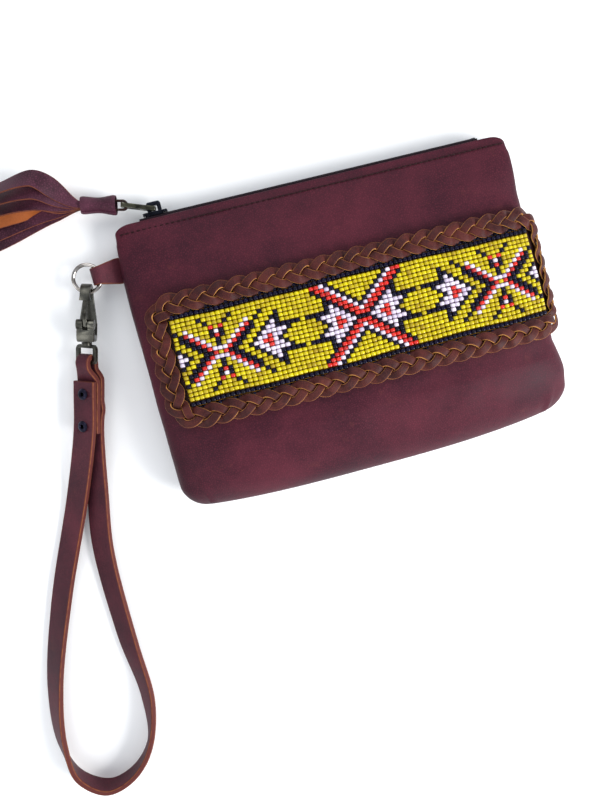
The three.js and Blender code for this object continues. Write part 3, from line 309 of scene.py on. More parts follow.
POUCH_LEATHER = hide("pouch_leather", (52, 20, 31), (86, 34, 46), (108, 56, 50), gloss=0.11)
STRAP_LEATHER = hide(
    "strap_leather", (58, 24, 34), (94, 42, 52), (108, 58, 48), 1200.0, 40.0,
    edge=(88, 40, 36), bare=(136, 80, 46),
)
LACE_LEATHER = hide(
    "lace_leather", (46, 16, 17), (92, 40, 34), (120, 66, 42), 1500.0, 90.0,
    edge=(96, 48, 34), bare=(206, 150, 78), worn=(0.26, 0.46),
)
FRINGE_LEATHER = hide(
    "fringe_leather", (44, 16, 28), (88, 45, 62), (98, 54, 56), mottle=50.0,
    edge=(82, 36, 28), bare=(142, 82, 46), flesh=(158, 84, 38),
)
BACKING_LEATHER = hide("backing_leather", (30, 14, 14), (50, 24, 20), (66, 38, 26))
# The third colour of each bead glass is painted shade at the bead's ends
BEADS_YELLOW = bead_glass("beads_yellow", (214, 198, 4), (158, 134, 0), (120, 88, 0), 0.4)
BEADS_NAVY = bead_glass("beads_navy", (16, 12, 40), (6, 5, 14), (5, 4, 9), 0.18)
BEADS_RED = bead_glass("beads_red", (224, 44, 30), (168, 18, 16), (96, 8, 8), 0.45)
BEADS_WHITE = bead_glass("beads_white", (236, 226, 236), (186, 172, 196), (140, 120, 148), 0.45)
# Warp thread: its own orange-brown, brightened to golden so the gaps between beads show a painted glow of
# light through the glass
WARP_THREAD = woven("warp_thread", (112, 76, 8), (150, 104, 14), 2600.0)
STITCH_THREAD = woven("stitch_thread", (34, 10, 16), (60, 24, 30), 2600.0)
ZIP_CLOTH = woven("zip_cloth", (26, 14, 22), (44, 28, 38))
ZIP_METAL = metal("zip_metal", (62, 60, 66), (32, 30, 36), (0.25, 0.5))
SLIDER_METAL = metal("slider_metal", (38, 40, 48), (17, 17, 22), (0.22, 0.45))
PULL_METAL = metal("pull_metal", (92, 90, 74), (32, 31, 30), (0.2, 0.42))
RING_METAL = metal("ring_metal", (196, 190, 184), (128, 120, 112), (0.1, 0.24))
HOOK_METAL = metal("hook_metal", (108, 106, 97), (42, 41, 38), (0.2, 0.44), 160.0)
RIVET_METAL = metal("rivet_metal", (46, 44, 60), (22, 20, 30), (0.25, 0.5))


# Points and meshes
def circle(count):
    return np.linspace(0, 2 * np.pi, count, endpoint=False)


def xyz(x, y, z):
    return np.stack(np.broadcast_arrays(x, y, z), -1)


def unit(vectors):
    return vectors / np.maximum(np.linalg.norm(vectors, axis=-1, keepdims=True), 1e-9)


def smooth_step(value, low, high):
    t = np.clip((value - low) / (high - low), 0, 1)
    return t * t * (3 - 2 * t)


# A profile of radii and distances turned about an axis; the order says where x, y and z come from
def turned(profile, around, order):
    rings = [[(r * math.cos(a), r * math.sin(a), v) for a in circle(around)] for r, v in profile]
    return np.array(rings)[..., order]


def piece_from(name, points, faces, material):
    mesh = bpy.data.meshes.new(name)
    mesh.from_pydata((np.asarray(points, float).reshape(-1, 3) * MM).tolist(), [], faces)
    mesh.materials.append(material)
    return placed(name, mesh)


def set_mark(mesh, mark, values):
    values = np.float32(values)
    kind, key = ("FLOAT_VECTOR", "vector") if values.ndim == 2 else ("FLOAT", "value")
    mesh.attributes.new(mark, kind, "POINT").data.foreach_set(key, values.ravel())


def tidy_shell(made, merge=1e-6, smooth_angle=None, shaping=None):
    work = bmesh.new()
    work.from_mesh(made.data)
    bmesh.ops.remove_doubles(work, verts=work.verts, dist=merge)
    if shaping:
        shaping(work)
    else:
        bmesh.ops.dissolve_degenerate(work, edges=work.edges, dist=merge)
    bmesh.ops.recalc_face_normals(work, faces=work.faces)
    work.to_mesh(made.data)
    work.free()
    made.data.shade_smooth()
    if smooth_angle:
        made.data.set_sharp_from_angle(angle=math.radians(smooth_angle))
    return made


def grid_faces(rows, columns, closed_rows=False, closed_columns=False):
    faces = []
    for r in range(rows if closed_rows else rows - 1):
        for c in range(columns if closed_columns else columns - 1):
            a, b = r * columns + c, r * columns + (c + 1) % columns
            down = ((r + 1) % rows) * columns
            faces.append((a, b, down + (c + 1) % columns, down + c))
    return faces


def tube_faces(stations, count):
    last = (stations - 1) * count
    ends = [tuple(range(count)), tuple(range(last, last + count))]
    return grid_faces(stations, count, closed_columns=True) + ends


def slab_faces(stations, count):
    faces = grid_faces(stations, count, closed_columns=True)
    for end in (0, (stations - 1) * count):
        far = end + count - 1
        faces += [(end + k, end + k + 1, far - 1 - k, far - k) for k in range(count // 2 - 1)]
    return faces


def settle(made, body, slot, *nodes):
    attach(made, body)
    if nodes:
        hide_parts(*nodes)
    return made


# Pouch surface, by the distance y along it and the turn round its section
def roll(distance, radius):
    inside = np.clip(1 - distance / radius, 0, 1)
    return np.sqrt(1 - inside * inside)


def section(y, depth=0.0):
    above = y - BOTTOM_Y - depth
    rise = np.clip((RIM_Y - y) / (RIM_Y - BELLY_Y), 0, 1)
    swell = 0.5 * rise + 0.5 * np.sin(rise * np.pi / 2)
    crown = MOUTH_DEPTH + (BELLY_DEPTH - MOUTH_DEPTH) * swell - depth
    front = FOLD_HEIGHT + (crown - FOLD_HEIGHT) * roll(above, FRONT_ROLL - depth)
    back = FOLD_HEIGHT + (depth - FOLD_HEIGHT) * roll(above, BACK_ROLL - depth)
    flare = np.clip((y - MOUTH_FROM) / (RIM_Y - MOUTH_FROM), 0, 1) ** 2
    half = POUCH_HALF - depth - MOUTH_TAPER * flare - CORNER * (1 - roll(above, CORNER))
    seam = back + (front - back) * SEAM_SHARE
    front_power = SIDE_POWER + (MOUTH_POWER - SIDE_POWER) * flare
    back_power = BACK_POWER + (MOUTH_POWER - BACK_POWER) * flare
    return half, front, back, seam, front_power, back_power


def bulge(share, power):
    return np.maximum(0, 1 - np.abs(share) ** power) ** (1 / power)


def shell_points(y, turn, depth=0.0):
    half, front, back, seam, front_power, back_power = section(y, depth)
    share = np.cos(turn)
    over = seam + (front - seam) * bulge(share, front_power)
    under = seam - (seam - back) * bulge(share, back_power)
    return xyz(half * share, y, np.where(np.sin(turn) >= -1e-12, over, under))


# Front surface, by the length u along the section from the middle and the distance y
TABLE_STEP = 0.5
U_TABLE = np.arange(0, 112.01, TABLE_STEP)
Y_TABLE = np.arange(-45, 60.01, TABLE_STEP)


def arc_tables():
    xs, zs = [], []
    share = np.sin(np.pi / 2 * np.linspace(0, 1, 500))
    for y in Y_TABLE:
        half, front, _, seam, power, _ = section(y)
        x, z = half * share, seam + (front - seam) * bulge(share, power)
        length = np.concatenate([[0], np.cumsum(np.hypot(np.diff(x), np.diff(z)))])
        xs.append(np.interp(U_TABLE, length, x))
        zs.append(np.interp(U_TABLE, length, z))
    return np.array(xs), np.array(zs)


X_OF_ARC, Z_OF_ARC = arc_tables()


def on_leather(u, y):
    column = np.clip(np.abs(u) / TABLE_STEP, 0, len(U_TABLE) - 1.001)
    row = np.clip((y - Y_TABLE[0]) / TABLE_STEP, 0, len(Y_TABLE) - 1.001)
    c, r = column.astype(int), row.astype(int)
    p, q = column - c, row - r

    def blend(table):
        upper = table[r, c] * (1 - p) + table[r, c + 1] * p
        lower = table[r + 1, c] * (1 - p) + table[r + 1, c + 1] * p
        return upper * (1 - q) + lower * q

    return xyz(blend(X_OF_ARC) * np.sign(u), y, blend(Z_OF_ARC))


def front_frame(u, y):
    along = unit(on_leather(u + 1, y) - on_leather(u - 1, y))
    out = unit(np.cross(along, on_leather(u, y + 1) - on_leather(u, y - 1)))
    return along, np.cross(out, along), out


def on_front(u, y, height):
    return on_leather(u, y) + front_frame(u, y)[2] * np.asarray(height, float)[..., None]


def ripple(points, size, seed):
    offset = Vector((seed, seed * 0.37, seed * 0.71))
    flat = points.reshape(-1, 3)
    return np.array([noise.noise(Vector(p / size) + offset) for p in flat]).reshape(points.shape[:-1])


# The rim's ends round off towards the side seams
def rim_drop(x):
    past = np.clip((np.abs(x) - RIM_ROUND_FROM) / RIM_ROUND_RUN, 0, 0.98)
    return RIM_ROUND_DROP * (1 - np.sqrt(1 - past * past))


# The lower edge bows up towards its corners, and the right corner flares out
def lift_corners(points):
    reach, low = points[..., 0] / POUCH_HALF, -points[..., 1]
    bow = np.where(reach > 0, BOW_RIGHT, BOW_LEFT) * np.abs(reach) ** 3
    lift = bow * smooth_step(low, BOW_FROM, -BOTTOM_Y)
    open_out = np.sin(np.pi / 2 * np.clip((low - CORNER_FLARE_FROM) / CORNER_FLARE_RUN, 0, 1))
    points[..., 0] += CORNER_FLARE * smooth_step(reach, 0.5, 1.0) * open_out
    points[..., 1] += lift


# How far the leather stands out: soft folds, side seams, a stitched hem and boxed lower corners
def leather_shift(outer, normal, y, turn):
    share, seam = np.cos(turn), section(y)[3]
    x, z = np.abs(outer[..., 0]), outer[..., 2]
    front = (np.sin(turn) > 0).astype(float)
    band = smooth_step(FRAME_U + 14 - np.abs(outer[..., 0] - BAND_X), 0, 8)
    band = band * smooth_step(FRAME_V + 14 - np.abs(y - BAND_Y), 0, 8)
    free = (1 - band * front) * smooth_step(y, BOTTOM_Y, BOTTOM_Y + 14)
    resting = (1 - front) * smooth_step(z, 5, 0)
    shift = sum(depth * ripple(outer, size, seed) for depth, size, seed in WRINKLES) * free * (1 - resting)
    at_seam = np.exp(-(((z - seam) / SEAM_WIDTH) ** 2)) * smooth_step(np.abs(share), 0.955, 0.985)
    shift -= SEAM_DEPTH * at_seam * smooth_step(y, -58, -40)
    shift += HEM_RISE * smooth_step(y, STITCH_Y - 2.2, STITCH_Y + 1.2)
    shift -= STITCH_SINK * np.exp(-(((y - STITCH_Y) / 0.8) ** 2)) * (np.abs(share) < 0.96)
    box_line = np.exp(-(((x - BOX_LINE_X - BOX_LINE_SLANT * (y - BOTTOM_Y)) / BOX_LINE_WIDTH) ** 2))
    shift -= BOX_LINE_DEPTH * box_line * smooth_step(y, -50, -60) * smooth_step(y, BOTTOM_Y, BOTTOM_Y + 3)
    for dent_x, dent_y in DENTS:
        away = np.hypot((x - dent_x) / DENT_LENGTH, (y - dent_y) / DENT_WIDTH)
        shift -= DENT_DEPTH * np.exp(-(away**2)) * np.clip(normal[..., 2], 0, 1)
    return shift


def pouch_shell():
    turns = circle(180)
    spacing = np.linspace(0, 1, 130) ** 1.7
    y, turn = np.meshgrid(RIM_Y + (BOTTOM_Y - RIM_Y) * (1 - spacing), turns, indexing="ij")
    outer = shell_points(y, turn)
    normal = unit(np.cross(np.roll(outer, -1, 1) - np.roll(outer, 1, 1), np.gradient(outer, axis=0)))
    outer = outer + normal * leather_shift(outer, normal, y, turn)[..., None]
    rims = []
    for step in (0.25, 0.5, 0.75):
        lip = shell_points(RIM_Y, turns, LEATHER * step)
        lip[:, 1] += RIM_LIP * math.sin(math.pi * step)
        rims.append(lip)
    inner_y = BOTTOM_Y + LEATHER + (RIM_Y - BOTTOM_Y - LEATHER) * np.linspace(1, 0, 40) ** 1.7
    inner = [shell_points(v, turns, LEATHER) for v in inner_y]
    rings = np.concatenate([outer, rims, inner])
    rings[..., 1] -= rim_drop(rings[..., 0]) * smooth_step(rings[..., 1], RIM_Y - 14, RIM_Y)
    lift_corners(rings)
    faces = grid_faces(len(rings), len(turns), closed_columns=True)
    made = tidy_shell(piece_from("pouch_leather", rings, faces, POUCH_LEATHER), 2e-5)
    settle(made, "pouch", "leather_maroon", "leather_front", "leather_back")


pouch_shell()


# A patch that follows the front of the pouch
def backing_patch():
    u, v = np.meshgrid(*(np.linspace(-h, h, n) for h, n in zip(BACKING_HALF, (90, 32))), indexing="ij")
    u, v = BAND_X + u, BAND_Y + v
    top, under = on_front(u, v, BACKING_TOP), on_front(u[:, ::-1], v[:, ::-1], BACKING_LOW)
    ring = np.concatenate([top, under], 1)
    faces = slab_faces(*ring.shape[:2])
    made = tidy_shell(piece_from("backing_patch_leather", ring, faces, BACKING_LEATHER), smooth_angle=40)
    settle(made, "pouch", "leather_lace", "backing_patch")


backing_patch()


# Geometry Nodes: copies of a shape on marked points, and a band that follows a path
def geo(tree, kind, inputs=None, **settings):
    return output(tree, "GeometryNode" + kind, inputs, **settings)


def tree_with(name, sockets):
    tree = bpy.data.node_groups.new(name, "GeometryNodeTree")
    face = tree.interface
    face.new_socket("Geometry", in_out="INPUT", socket_type="NodeSocketGeometry")
    keys = {}
    for socket, kind in sockets.items():
        made = face.new_socket(socket, in_out="INPUT", socket_type="NodeSocket" + kind)
        keys[socket] = made.identifier
    face.new_socket("Geometry", in_out="OUTPUT", socket_type="NodeSocketGeometry")
    return tree, wire(tree, "NodeGroupInput").outputs, keys


def named(tree, name, kind="FLOAT"):
    return geo(tree, "InputNamedAttribute", {"Name": name}, data_type=kind)


def stored(tree, geometry, name, value):
    mark = {"Geometry": geometry, "Name": name, "Value": value}
    return geo(tree, "StoreNamedAttribute", mark, data_type="FLOAT", domain="POINT")


def finish_tree(tree, geometry, material):
    whole = geo(tree, "RealizeInstances", {"Geometry": geometry})
    smooth = geo(tree, "SetShadeSmooth", {"Geometry": whole})
    painted = geo(tree, "SetMaterial", {"Geometry": smooth, "Material": material})
    wire(tree, "NodeGroupOutput", {"Geometry": painted})


def copies_tree():
    sizes = dict.fromkeys(("Length", "Width", "Height"), "Float")
    tree, given, keys = tree_with("copies_on_points", {"Shape": "Object", **sizes, "Material": "Material"})
    shape = geo(tree, "ObjectInfo", {"Object": given["Shape"], "As Instance": True}, key="Geometry")
    points = geo(tree, "MeshToPoints", {"Mesh": given["Geometry"]})
    turn = output(tree, "FunctionNodeEulerToRotation", {"Euler": named(tree, "turn", "FLOAT_VECTOR")})
    size = {"X": given["Length"], "Y": given["Width"], "Z": given["Height"]}
    size = output(tree, "ShaderNodeCombineXYZ", size)
    scaled = {0: size, "Scale": named(tree, "swell")}
    scaled = output(tree, "ShaderNodeVectorMath", scaled, operation="SCALE")
    copy = {"Points": points, "Instance": shape, "Rotation": turn, "Scale": scaled}
    finish_tree(tree, geo(tree, "InstanceOnPoints", copy), given["Material"])
    return tree, keys


def band_tree():
    sizes = dict.fromkeys(("Width", "Thickness", "Rounding", "Crown"), "Float")
    tree, given, keys = tree_with("band_on_path", {**sizes, "Around": "Int", "Material": "Material"})
    path = geo(tree, "MeshToCurve", {"Mesh": given["Geometry"]})
    across = named(tree, "across", "FLOAT_VECTOR")
    path = geo(tree, "SetCurveNormal", {"Curve": path, "Normal": across}, mode="FREE")
    outline = {"Width": given["Width"], "Height": given["Thickness"]}
    outline = geo(tree, "CurvePrimitiveQuadrilateral", outline)
    rounding = {"Curve": outline, "Count": 4, "Radius": given["Rounding"], "Limit Radius": True}
    outline = geo(tree, "FilletCurve", rounding, mode="POLY")
    outline = geo(tree, "ResampleCurve", {"Curve": outline, "Count": given["Around"]})
    place = wire(tree, "ShaderNodeSeparateXYZ", {0: geo(tree, "InputPosition")}).outputs
    half = times(tree, given["Width"], 0.5)
    reach = math_node(tree, "DIVIDE", math_node(tree, "ABSOLUTE", place["X"]), half)
    crown = math_node(tree, "SUBTRACT", 1.0, math_node(tree, "POWER", reach, 2.0))
    rise = times(tree, times(tree, crown, given["Crown"]), math_node(tree, "SIGN", place["Y"]))
    lift = output(tree, "ShaderNodeCombineXYZ", {"Y": rise})
    marked = stored(tree, outline, "edge", ramp(tree, reach, 0.86, 0.97))
    marked = stored(tree, marked, "flesh", math_node(tree, "LESS_THAN", place["Y"], 0.0))
    marked = geo(tree, "SetPosition", {"Geometry": marked, "Offset": lift})
    sweep = {"Curve": path, "Profile Curve": marked, "Scale": named(tree, "girth"), "Fill Caps": True}
    finish_tree(tree, geo(tree, "CurveToMesh", sweep), given["Material"])
    return tree, keys


COPIES = copies_tree()
BAND = band_tree()


def run_tree(name, seed, tree_and_keys, values):
    tree, keys = tree_and_keys
    modifier = seed.modifiers.new(tree.name, "NODES")
    modifier.node_group = tree
    for socket, value in values.items():
        modifier[keys[socket]] = value
    evaluated = seed.evaluated_get(bpy.context.evaluated_depsgraph_get())
    mesh = bpy.data.meshes.new_from_object(evaluated)
    mesh.name = name
    seed.modifiers.remove(modifier)
    made = placed(name, mesh)
    bpy.data.objects.remove(seed)
    return made


def marked_points(name, points, edges, **marks):
    mesh = bpy.data.meshes.new(name)
    mesh.from_pydata((np.asarray(points, float) * MM).tolist(), edges, [])
    for mark, values in marks.items():
        shape = (len(points), 3) if mark in ("turn", "across") else len(points)
        set_mark(mesh, mark, np.broadcast_to(values, shape))
    return placed(name + "_seed", mesh)


def band_on_path(name, points, across, width, thick, material, rounding=None, crown=0.0, around=20,
                 closed=False, girth=1.0, lines=1):
    count = len(points)
    ends = range(count // lines - 1, count, count // lines)
    edges = [(k, (k + 1) % count) for k in range(count) if closed or k not in ends]
    seed = marked_points(name, points, edges, across=unit(np.asarray(across, float)), girth=girth)
    sizes = {"Width": width, "Thickness": thick, "Rounding": rounding or thick * 0.38, "Crown": crown}
    sizes = {socket: size * MM for socket, size in sizes.items()}
    return run_tree(name, seed, BAND, {**sizes, "Around": around, "Material": material})


def copies_on(name, shape, points, turns, size, material, tone=1.0, swell=1.0):
    seed = marked_points(name, points, [], turn=turns, tone=tone, swell=swell)
    sizes = dict(zip(("Length", "Width", "Height"), size))
    return run_tree(name, seed, COPIES, {"Shape": shape, **sizes, "Material": material})


def turns_of(x_axes, y_axes, z_axes):
    return [tuple(Matrix(axes).transposed().to_euler()) for axes in zip(x_axes, y_axes, z_axes)]


# Small shapes that are repeated
def hidden_shape(name, points, faces):
    made = tidy_shell(piece_from(name, points, faces, STITCH_THREAD))
    made.hide_render = True
    return made


def bead_shape(around=10):
    profile = ((0.42, -0.7), (0.8, -0.84), (1.03, -0.56), (1.08, 0.0), (1.03, 0.56), (0.8, 0.84), (0.42, 0.7))
    faces = grid_faces(len(profile), around, closed_rows=True, closed_columns=True)
    made = hidden_shape("bead_shape", turned(profile, around, (0, 1, 2)), faces)
    end = max(v for _, v in profile) * MM
    # The rim mark rises towards the bead's hole ends, where the glass takes painted shade
    set_mark(made.data, "rim", [abs(vertex.co.z) / end for vertex in made.data.vertices])
    return made


def stitch_shape(around=8):
    profile = ((0.0, -0.5), (0.32, -0.44), (0.5, -0.24), (0.5, 0.24), (0.32, 0.44), (0.0, 0.5))
    faces = grid_faces(len(profile), around, closed_columns=True)
    return hidden_shape("stitch_shape", turned(profile, around, (2, 0, 1)), faces)


def tooth_shape():
    half = [(0.36, 1.7), (0.36, 0.5), (0.5, 0.1), (0.5, -0.5), (0.3, -0.75)]
    outline = [(-x, z) for x, z in half] + half[::-1]
    levels = ((0.82, -1.0), (1.0, -0.8), (1.0, 0.8), (0.82, 1.0))
    points = [[(x * s, y, z * s) for x, z in outline] for s, y in levels]
    return hidden_shape("tooth_shape", points, tube_faces(len(levels), len(outline)))


# Beadwork: the colour of each bead follows from its column i and row j, counted from the middle
CROSS = {-3: "navy", -2: "white", -1: "red", 0: "red"}
DIAMOND = {
    "white": {0: (2, 3, 6), 1: (3, 4, 6, 7), 2: (4, 5, 6, 7, 8), 3: (5, 6), 4: (6,)},
    "red": {0: (4, 5), 1: (5,)},
    "navy": {0: (7,), 1: (8,), 2: (9,), 3: (7, 8, 9, 10, 11), 4: (7,), 5: (6, 7), 6: (7,)},
}
CROSS_END, DIAMOND_MIRROR, STAR_FROM, STAR_MIDDLE = 10, 12, 18, 29


def star_colour(i, j):
    p = abs(i - STAR_MIDDLE)
    rules = (
        ("yellow", (j, p) == (0, 0)),
        ("red", (j, p) in ((0, 1), (1, 2))),
        ("white", j == 1 and p <= 1),
        ("white", 2 <= j <= 6 and p == j),
        ("red", 2 <= j <= 5 and p == j + 1),
        ("navy", j <= 7 and p == j + 2),
        ("navy", j <= 4 and p == j + 3),
        ("yellow", p in (j + 4, j + 5)),
        ("navy", j <= 6 and p == j + 6),
        ("white", i > STAR_MIDDLE and (j, p) in ((0, 7), (0, 8), (1, 8))),
        ("red", (j, p) in ((4, 0), (6, 1))),
        ("white", (j, p) == (5, 0)),
        ("navy", (j, p) in ((2, 0), (3, 0), (4, 1), (5, 1), (7, 2), (8, 3))),
    )
    return next((colour for colour, holds in rules if holds), "yellow")


def bead_colour(column, row):
    i, j = abs(column), abs(row)
    if j > HALF_ROWS or i == j == 0:
        return "navy"
    if i <= min(CROSS_END, j):
        return CROSS.get(i - j, "yellow")
    if i <= CROSS_END and i == j + 1 and j <= 8:
        return "navy"
    near = i if i <= DIAMOND_MIRROR else 2 * DIAMOND_MIRROR - i
    for colour, table in DIAMOND.items():
        if near in table.get(j, ()):
            return colour
    if j <= 6 and i > DIAMOND_MIRROR and i + j == 23:
        return "navy"
    if i < STAR_FROM or j <= 6 and i < STAR_MIDDLE and i + j in (24, 25):
        return "yellow"
    return star_colour(i, j)


# The loom's pull leaves the rows a little uneven
def loom_sway(u, v):
    along = 0.22 * np.sin(v / 8 + u / 43)
    up = 0.28 * np.sin(u / 17 + v / 29) + 0.16 * np.sin(u / 6.1 + v / 15 + 1.3)
    return u + along, v + up


def bead_rows():
    for row in range(-HALF_ROWS - EDGE_ROWS, HALF_ROWS + EDGE_ROWS + 1):
        past_ground = abs(row) > HALF_ROWS
        yield row, row * BEAD_ROW + (math.copysign(GAP, row) if past_ground else 0)


def beadwork():
    shape = bead_shape()
    rng = np.random.default_rng(11)
    beds = {"yellow": [], "navy": [], "red": [], "white": []}
    for row, step in bead_rows():
        sunk = OUTER_ROW_SINK * (abs(row) == HALF_ROWS + EDGE_ROWS)
        for column in range(-HALF_COLUMNS, HALF_COLUMNS + 1):
            beds[bead_colour(column, row)].append((column * BEAD_PITCH, step, sunk))
    stands_for = {
        "yellow": (BEADS_YELLOW, "bead_ground"),
        "navy": (BEADS_NAVY, ("bead_edge", "bead_chevron")),
        "red": (BEADS_RED, ("bead_cross", "bead_star")),
        "white": (BEADS_WHITE, "bead_diamond"),
    }
    for colour, (material, starts) in stands_for.items():
        bed = np.array(beds[colour])
        places = bed[:, :2] + rng.normal(0, (0.06, 0.05), (len(bed), 2))
        u, v = loom_sway(places[:, 0], places[:, 1])
        u, v = BAND_X + u, BAND_Y + v
        along, up, out = front_frame(u, v)
        tilt = rng.normal(0, 0.05, len(u))[:, None]
        side = along * np.cos(tilt) + up * np.sin(tilt)
        points = on_front(u, v, BEAD_MIDDLE - bed[:, 2] + rng.normal(0, 0.06, len(u)))
        turns = turns_of(side, -out, np.cross(out, side))
        tone = np.clip(rng.normal(0.62, 0.24, len(u)), 0, 1)
        swell = rng.normal(1.0, 0.025, len(u))
        name = "beads_" + colour + "_set"
        made = copies_on(name, shape, points, turns, BEAD_SIZE, material, tone, swell)
        settle(made, "pouch", "bead_" + colour, *(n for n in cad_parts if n.startswith(starts)))
    bpy.data.objects.remove(shape)


beadwork()


def warp_threads():
    steps = [step for _, step in bead_rows()]
    levels = [(a + b) / 2 for a, b in zip(steps, steps[1:])]
    levels += [steps[0] - BEAD_ROW / 2, steps[-1] + BEAD_ROW / 2]
    reach = np.linspace(-HALF_COLUMNS - 0.7, HALF_COLUMNS + 0.7, 150) * BEAD_PITCH
    u, v = (grid.ravel() for grid in np.meshgrid(reach, levels))
    height = BEAD_MIDDLE - 0.25 + WARP_WAVE * np.cos(2 * np.pi * u / BEAD_PITCH / 2)
    u, v = loom_sway(u, v)
    u, v = BAND_X + u, BAND_Y + v
    made = band_on_path(
        "warp_threads", on_front(u, v, height), front_frame(u, v)[1], WARP_THICK, WARP_THICK, WARP_THREAD,
        rounding=0.16, around=6, lines=len(levels),
    )
    settle(made, "pouch", "bead_yellow")


warp_threads()


def turned_about(axes, vectors, angles):
    axes = unit(axes)
    cos, sin = np.cos(angles)[:, None], np.sin(angles)[:, None]
    along = axes * (axes * vectors).sum(1, keepdims=True)
    return vectors * cos + np.cross(axes, vectors) * sin + along * (1 - cos)


# Braided frame: three laces that weave round the band
def frame_point(distance, off):
    s = distance % BRAID_AROUND
    for k, (a, b) in enumerate(((1, 1), (-1, 1), (-1, -1), (1, -1))):
        centre = np.array([a * (FRAME_U - BRAID_CORNER), b * (FRAME_V - BRAID_CORNER)])
        angle = k * math.pi / 2
        out = np.array([math.cos(angle), math.sin(angle)])
        ahead = np.array([-out[1], out[0]])
        straight = BRAID_STRAIGHTS[k % 2]
        if s < straight:
            return centre + out * (BRAID_CORNER + off) - ahead * (straight - s)
        s -= straight
        if s < BRAID_BEND:
            bent = angle + s / BRAID_CORNER
            return centre + (BRAID_CORNER + off) * np.array([math.cos(bent), math.sin(bent)])
        s -= BRAID_BEND
    return frame_point(0.0, off)


def lace(index):
    sway = (BRAID_WIDTH - LACE_WIDTH) / 2
    turns = np.arange(0, BRAID_PERIODS, 1 / 30)
    distances = (turns - index / 3) / BRAID_PERIODS * BRAID_AROUND
    plan = np.array([frame_point(distance, 0.0) for distance in distances])
    outwards = np.array([frame_point(distance, 1.0) for distance in distances]) - plan
    squeeze = 1 - RIGHT_SQUEEZE * smooth_step(plan[:, 0], FRAME_U - 8, FRAME_U - 1)
    plan = plan + outwards * (sway * np.sin(2 * np.pi * turns) * squeeze)[:, None]
    level = LACE_LEVEL - LACE_LIFT * np.tanh(1.8 * np.sin(4 * np.pi * turns)) / math.tanh(1.8)
    level -= SIDE_HUG * smooth_step(plan[:, 0], FRAME_U - 3, FRAME_U + 4)
    ahead = unit(np.roll(plan, -1, 0) - np.roll(plan, 1, 0))
    u, v = BAND_X + plan[:, 0], BAND_Y + plan[:, 1]
    points = on_front(u, v, level)
    side_u, side_v = -ahead[:, 1] * LACE_WIDTH / 2, ahead[:, 0] * LACE_WIDTH / 2
    across = on_front(u + side_u, v + side_v, level) - on_front(u - side_u, v - side_v, level)
    lap = 2 * np.pi * turns / BRAID_PERIODS
    girth = 0.97 + 0.05 * np.sin(23 * lap + index) + 0.04 * np.sin(41 * lap + 2 * index)
    roll_over = 0.2 * np.sin(2 * np.pi * turns) + 0.1 * np.sin(31 * lap + 4 * index)
    across = turned_about(np.roll(points, -1, 0) - np.roll(points, 1, 0), across, roll_over)
    made = band_on_path(
        f"lace_{index + 1}", points, across, LACE_WIDTH, LACE_THICK, LACE_LEATHER,
        crown=LACE_CROWN, around=18, closed=True, girth=girth,
    )
    settle(made, "pouch", "leather_lace", f"braid_lace_{index + 1}")


for number in range(3):
    lace(number)


# Top stitching along the rim, front and back, with dark marks of painted shade in the needle holes between
# the stitches
def rim_stitches():
    shape = stitch_shape()
    x = np.arange(-92, 92.01, STITCH_STEP)
    half, front, back, seam, front_power, back_power = section(STITCH_Y)
    points, hole_shades = [], []
    for face, power, lift, shade_offset in ((front, front_power, 0.35, -0.3), (back, back_power, 0.1, 0.3)):
        z = seam + (face - seam) * bulge(x / half, power) + lift
        points += xyz(x, STITCH_Y, z).tolist()
        # Painted shade: a dark mark halfway between stitches stands in for the shade in each needle hole
        hole_shades += xyz(x + STITCH_STEP / 2, STITCH_Y, z + shade_offset).tolist()
    for name, places, size, material in (
        ("rim_stitches", points, (1.8, 0.66, 0.66), STITCH_THREAD),
        ("stitch_holes", hole_shades, (1.0, 0.6, 0.5), BACKING_LEATHER),
    ):
        made = copies_on(name, shape, places, (0.0, 0.0, 0.06), size, material)
        settle(made, "pouch", "zip_tape")
    bpy.data.objects.remove(shape)


rim_stitches()


# Zip: woven tapes, their ends turned in to the side seams, cords and meshed teeth
def cloth_slab(name, ring, *nodes):
    made = piece_from(name, ring, slab_faces(*np.shape(ring)[:2]), ZIP_CLOTH)
    settle(tidy_shell(made, smooth_angle=60), "pouch", "zip_tape", *nodes)


def zip_tapes():
    x = np.linspace(-ZIP_HALF, ZIP_HALF, 120)
    outer, inner = [], []
    for k, (y, z) in enumerate(TAPE_BEND):
        outer.append((y + TAPE_EDGE * (k < 3), z + TAPE_WALL * (k > 1)))
        inner.append((y - TAPE_WALL * (k < 3), z - TAPE_WALL * (k > 1)))
    for name, side in (("front", 1), ("back", -1)):
        ring = [[(v, y, ZIP_Z + side * z) for y, z in outer + inner[::-1]] for v in x]
        cloth_slab("tape_" + name, ring, "zip_tape_" + name)


def zip_teeth():
    shape = tooth_shape()
    cord_x = np.linspace(COMB_FROM, COMB_TO, 200)
    for name, side in (("front", 1), ("back", -1)):
        x = np.arange(COMB_FROM + (2 - side) * TOOTH_STEP / 4, COMB_TO - COMB_SPARE, TOOTH_STEP)
        turn = (0.0, 0.0 if side > 0 else math.pi, 0.0)
        teeth = copies_on("teeth_" + name, shape, xyz(x, ZIP_Y, ZIP_Z), turn, TOOTH_SIZE, ZIP_METAL)
        settle(teeth, "pouch", "zip_teeth", "zip_teeth_" + name)
        line, size = xyz(cord_x, ZIP_Y, ZIP_Z + side * CORD_OFF), (CORD_WIDTH, CORD_THICK)
        cord = band_on_path("tape_cord_" + name, line, (0, 1, 0), *size, ZIP_CLOTH, rounding=0.45, around=12)
        settle(cord, "pouch", "zip_tape")
    bpy.data.objects.remove(shape)


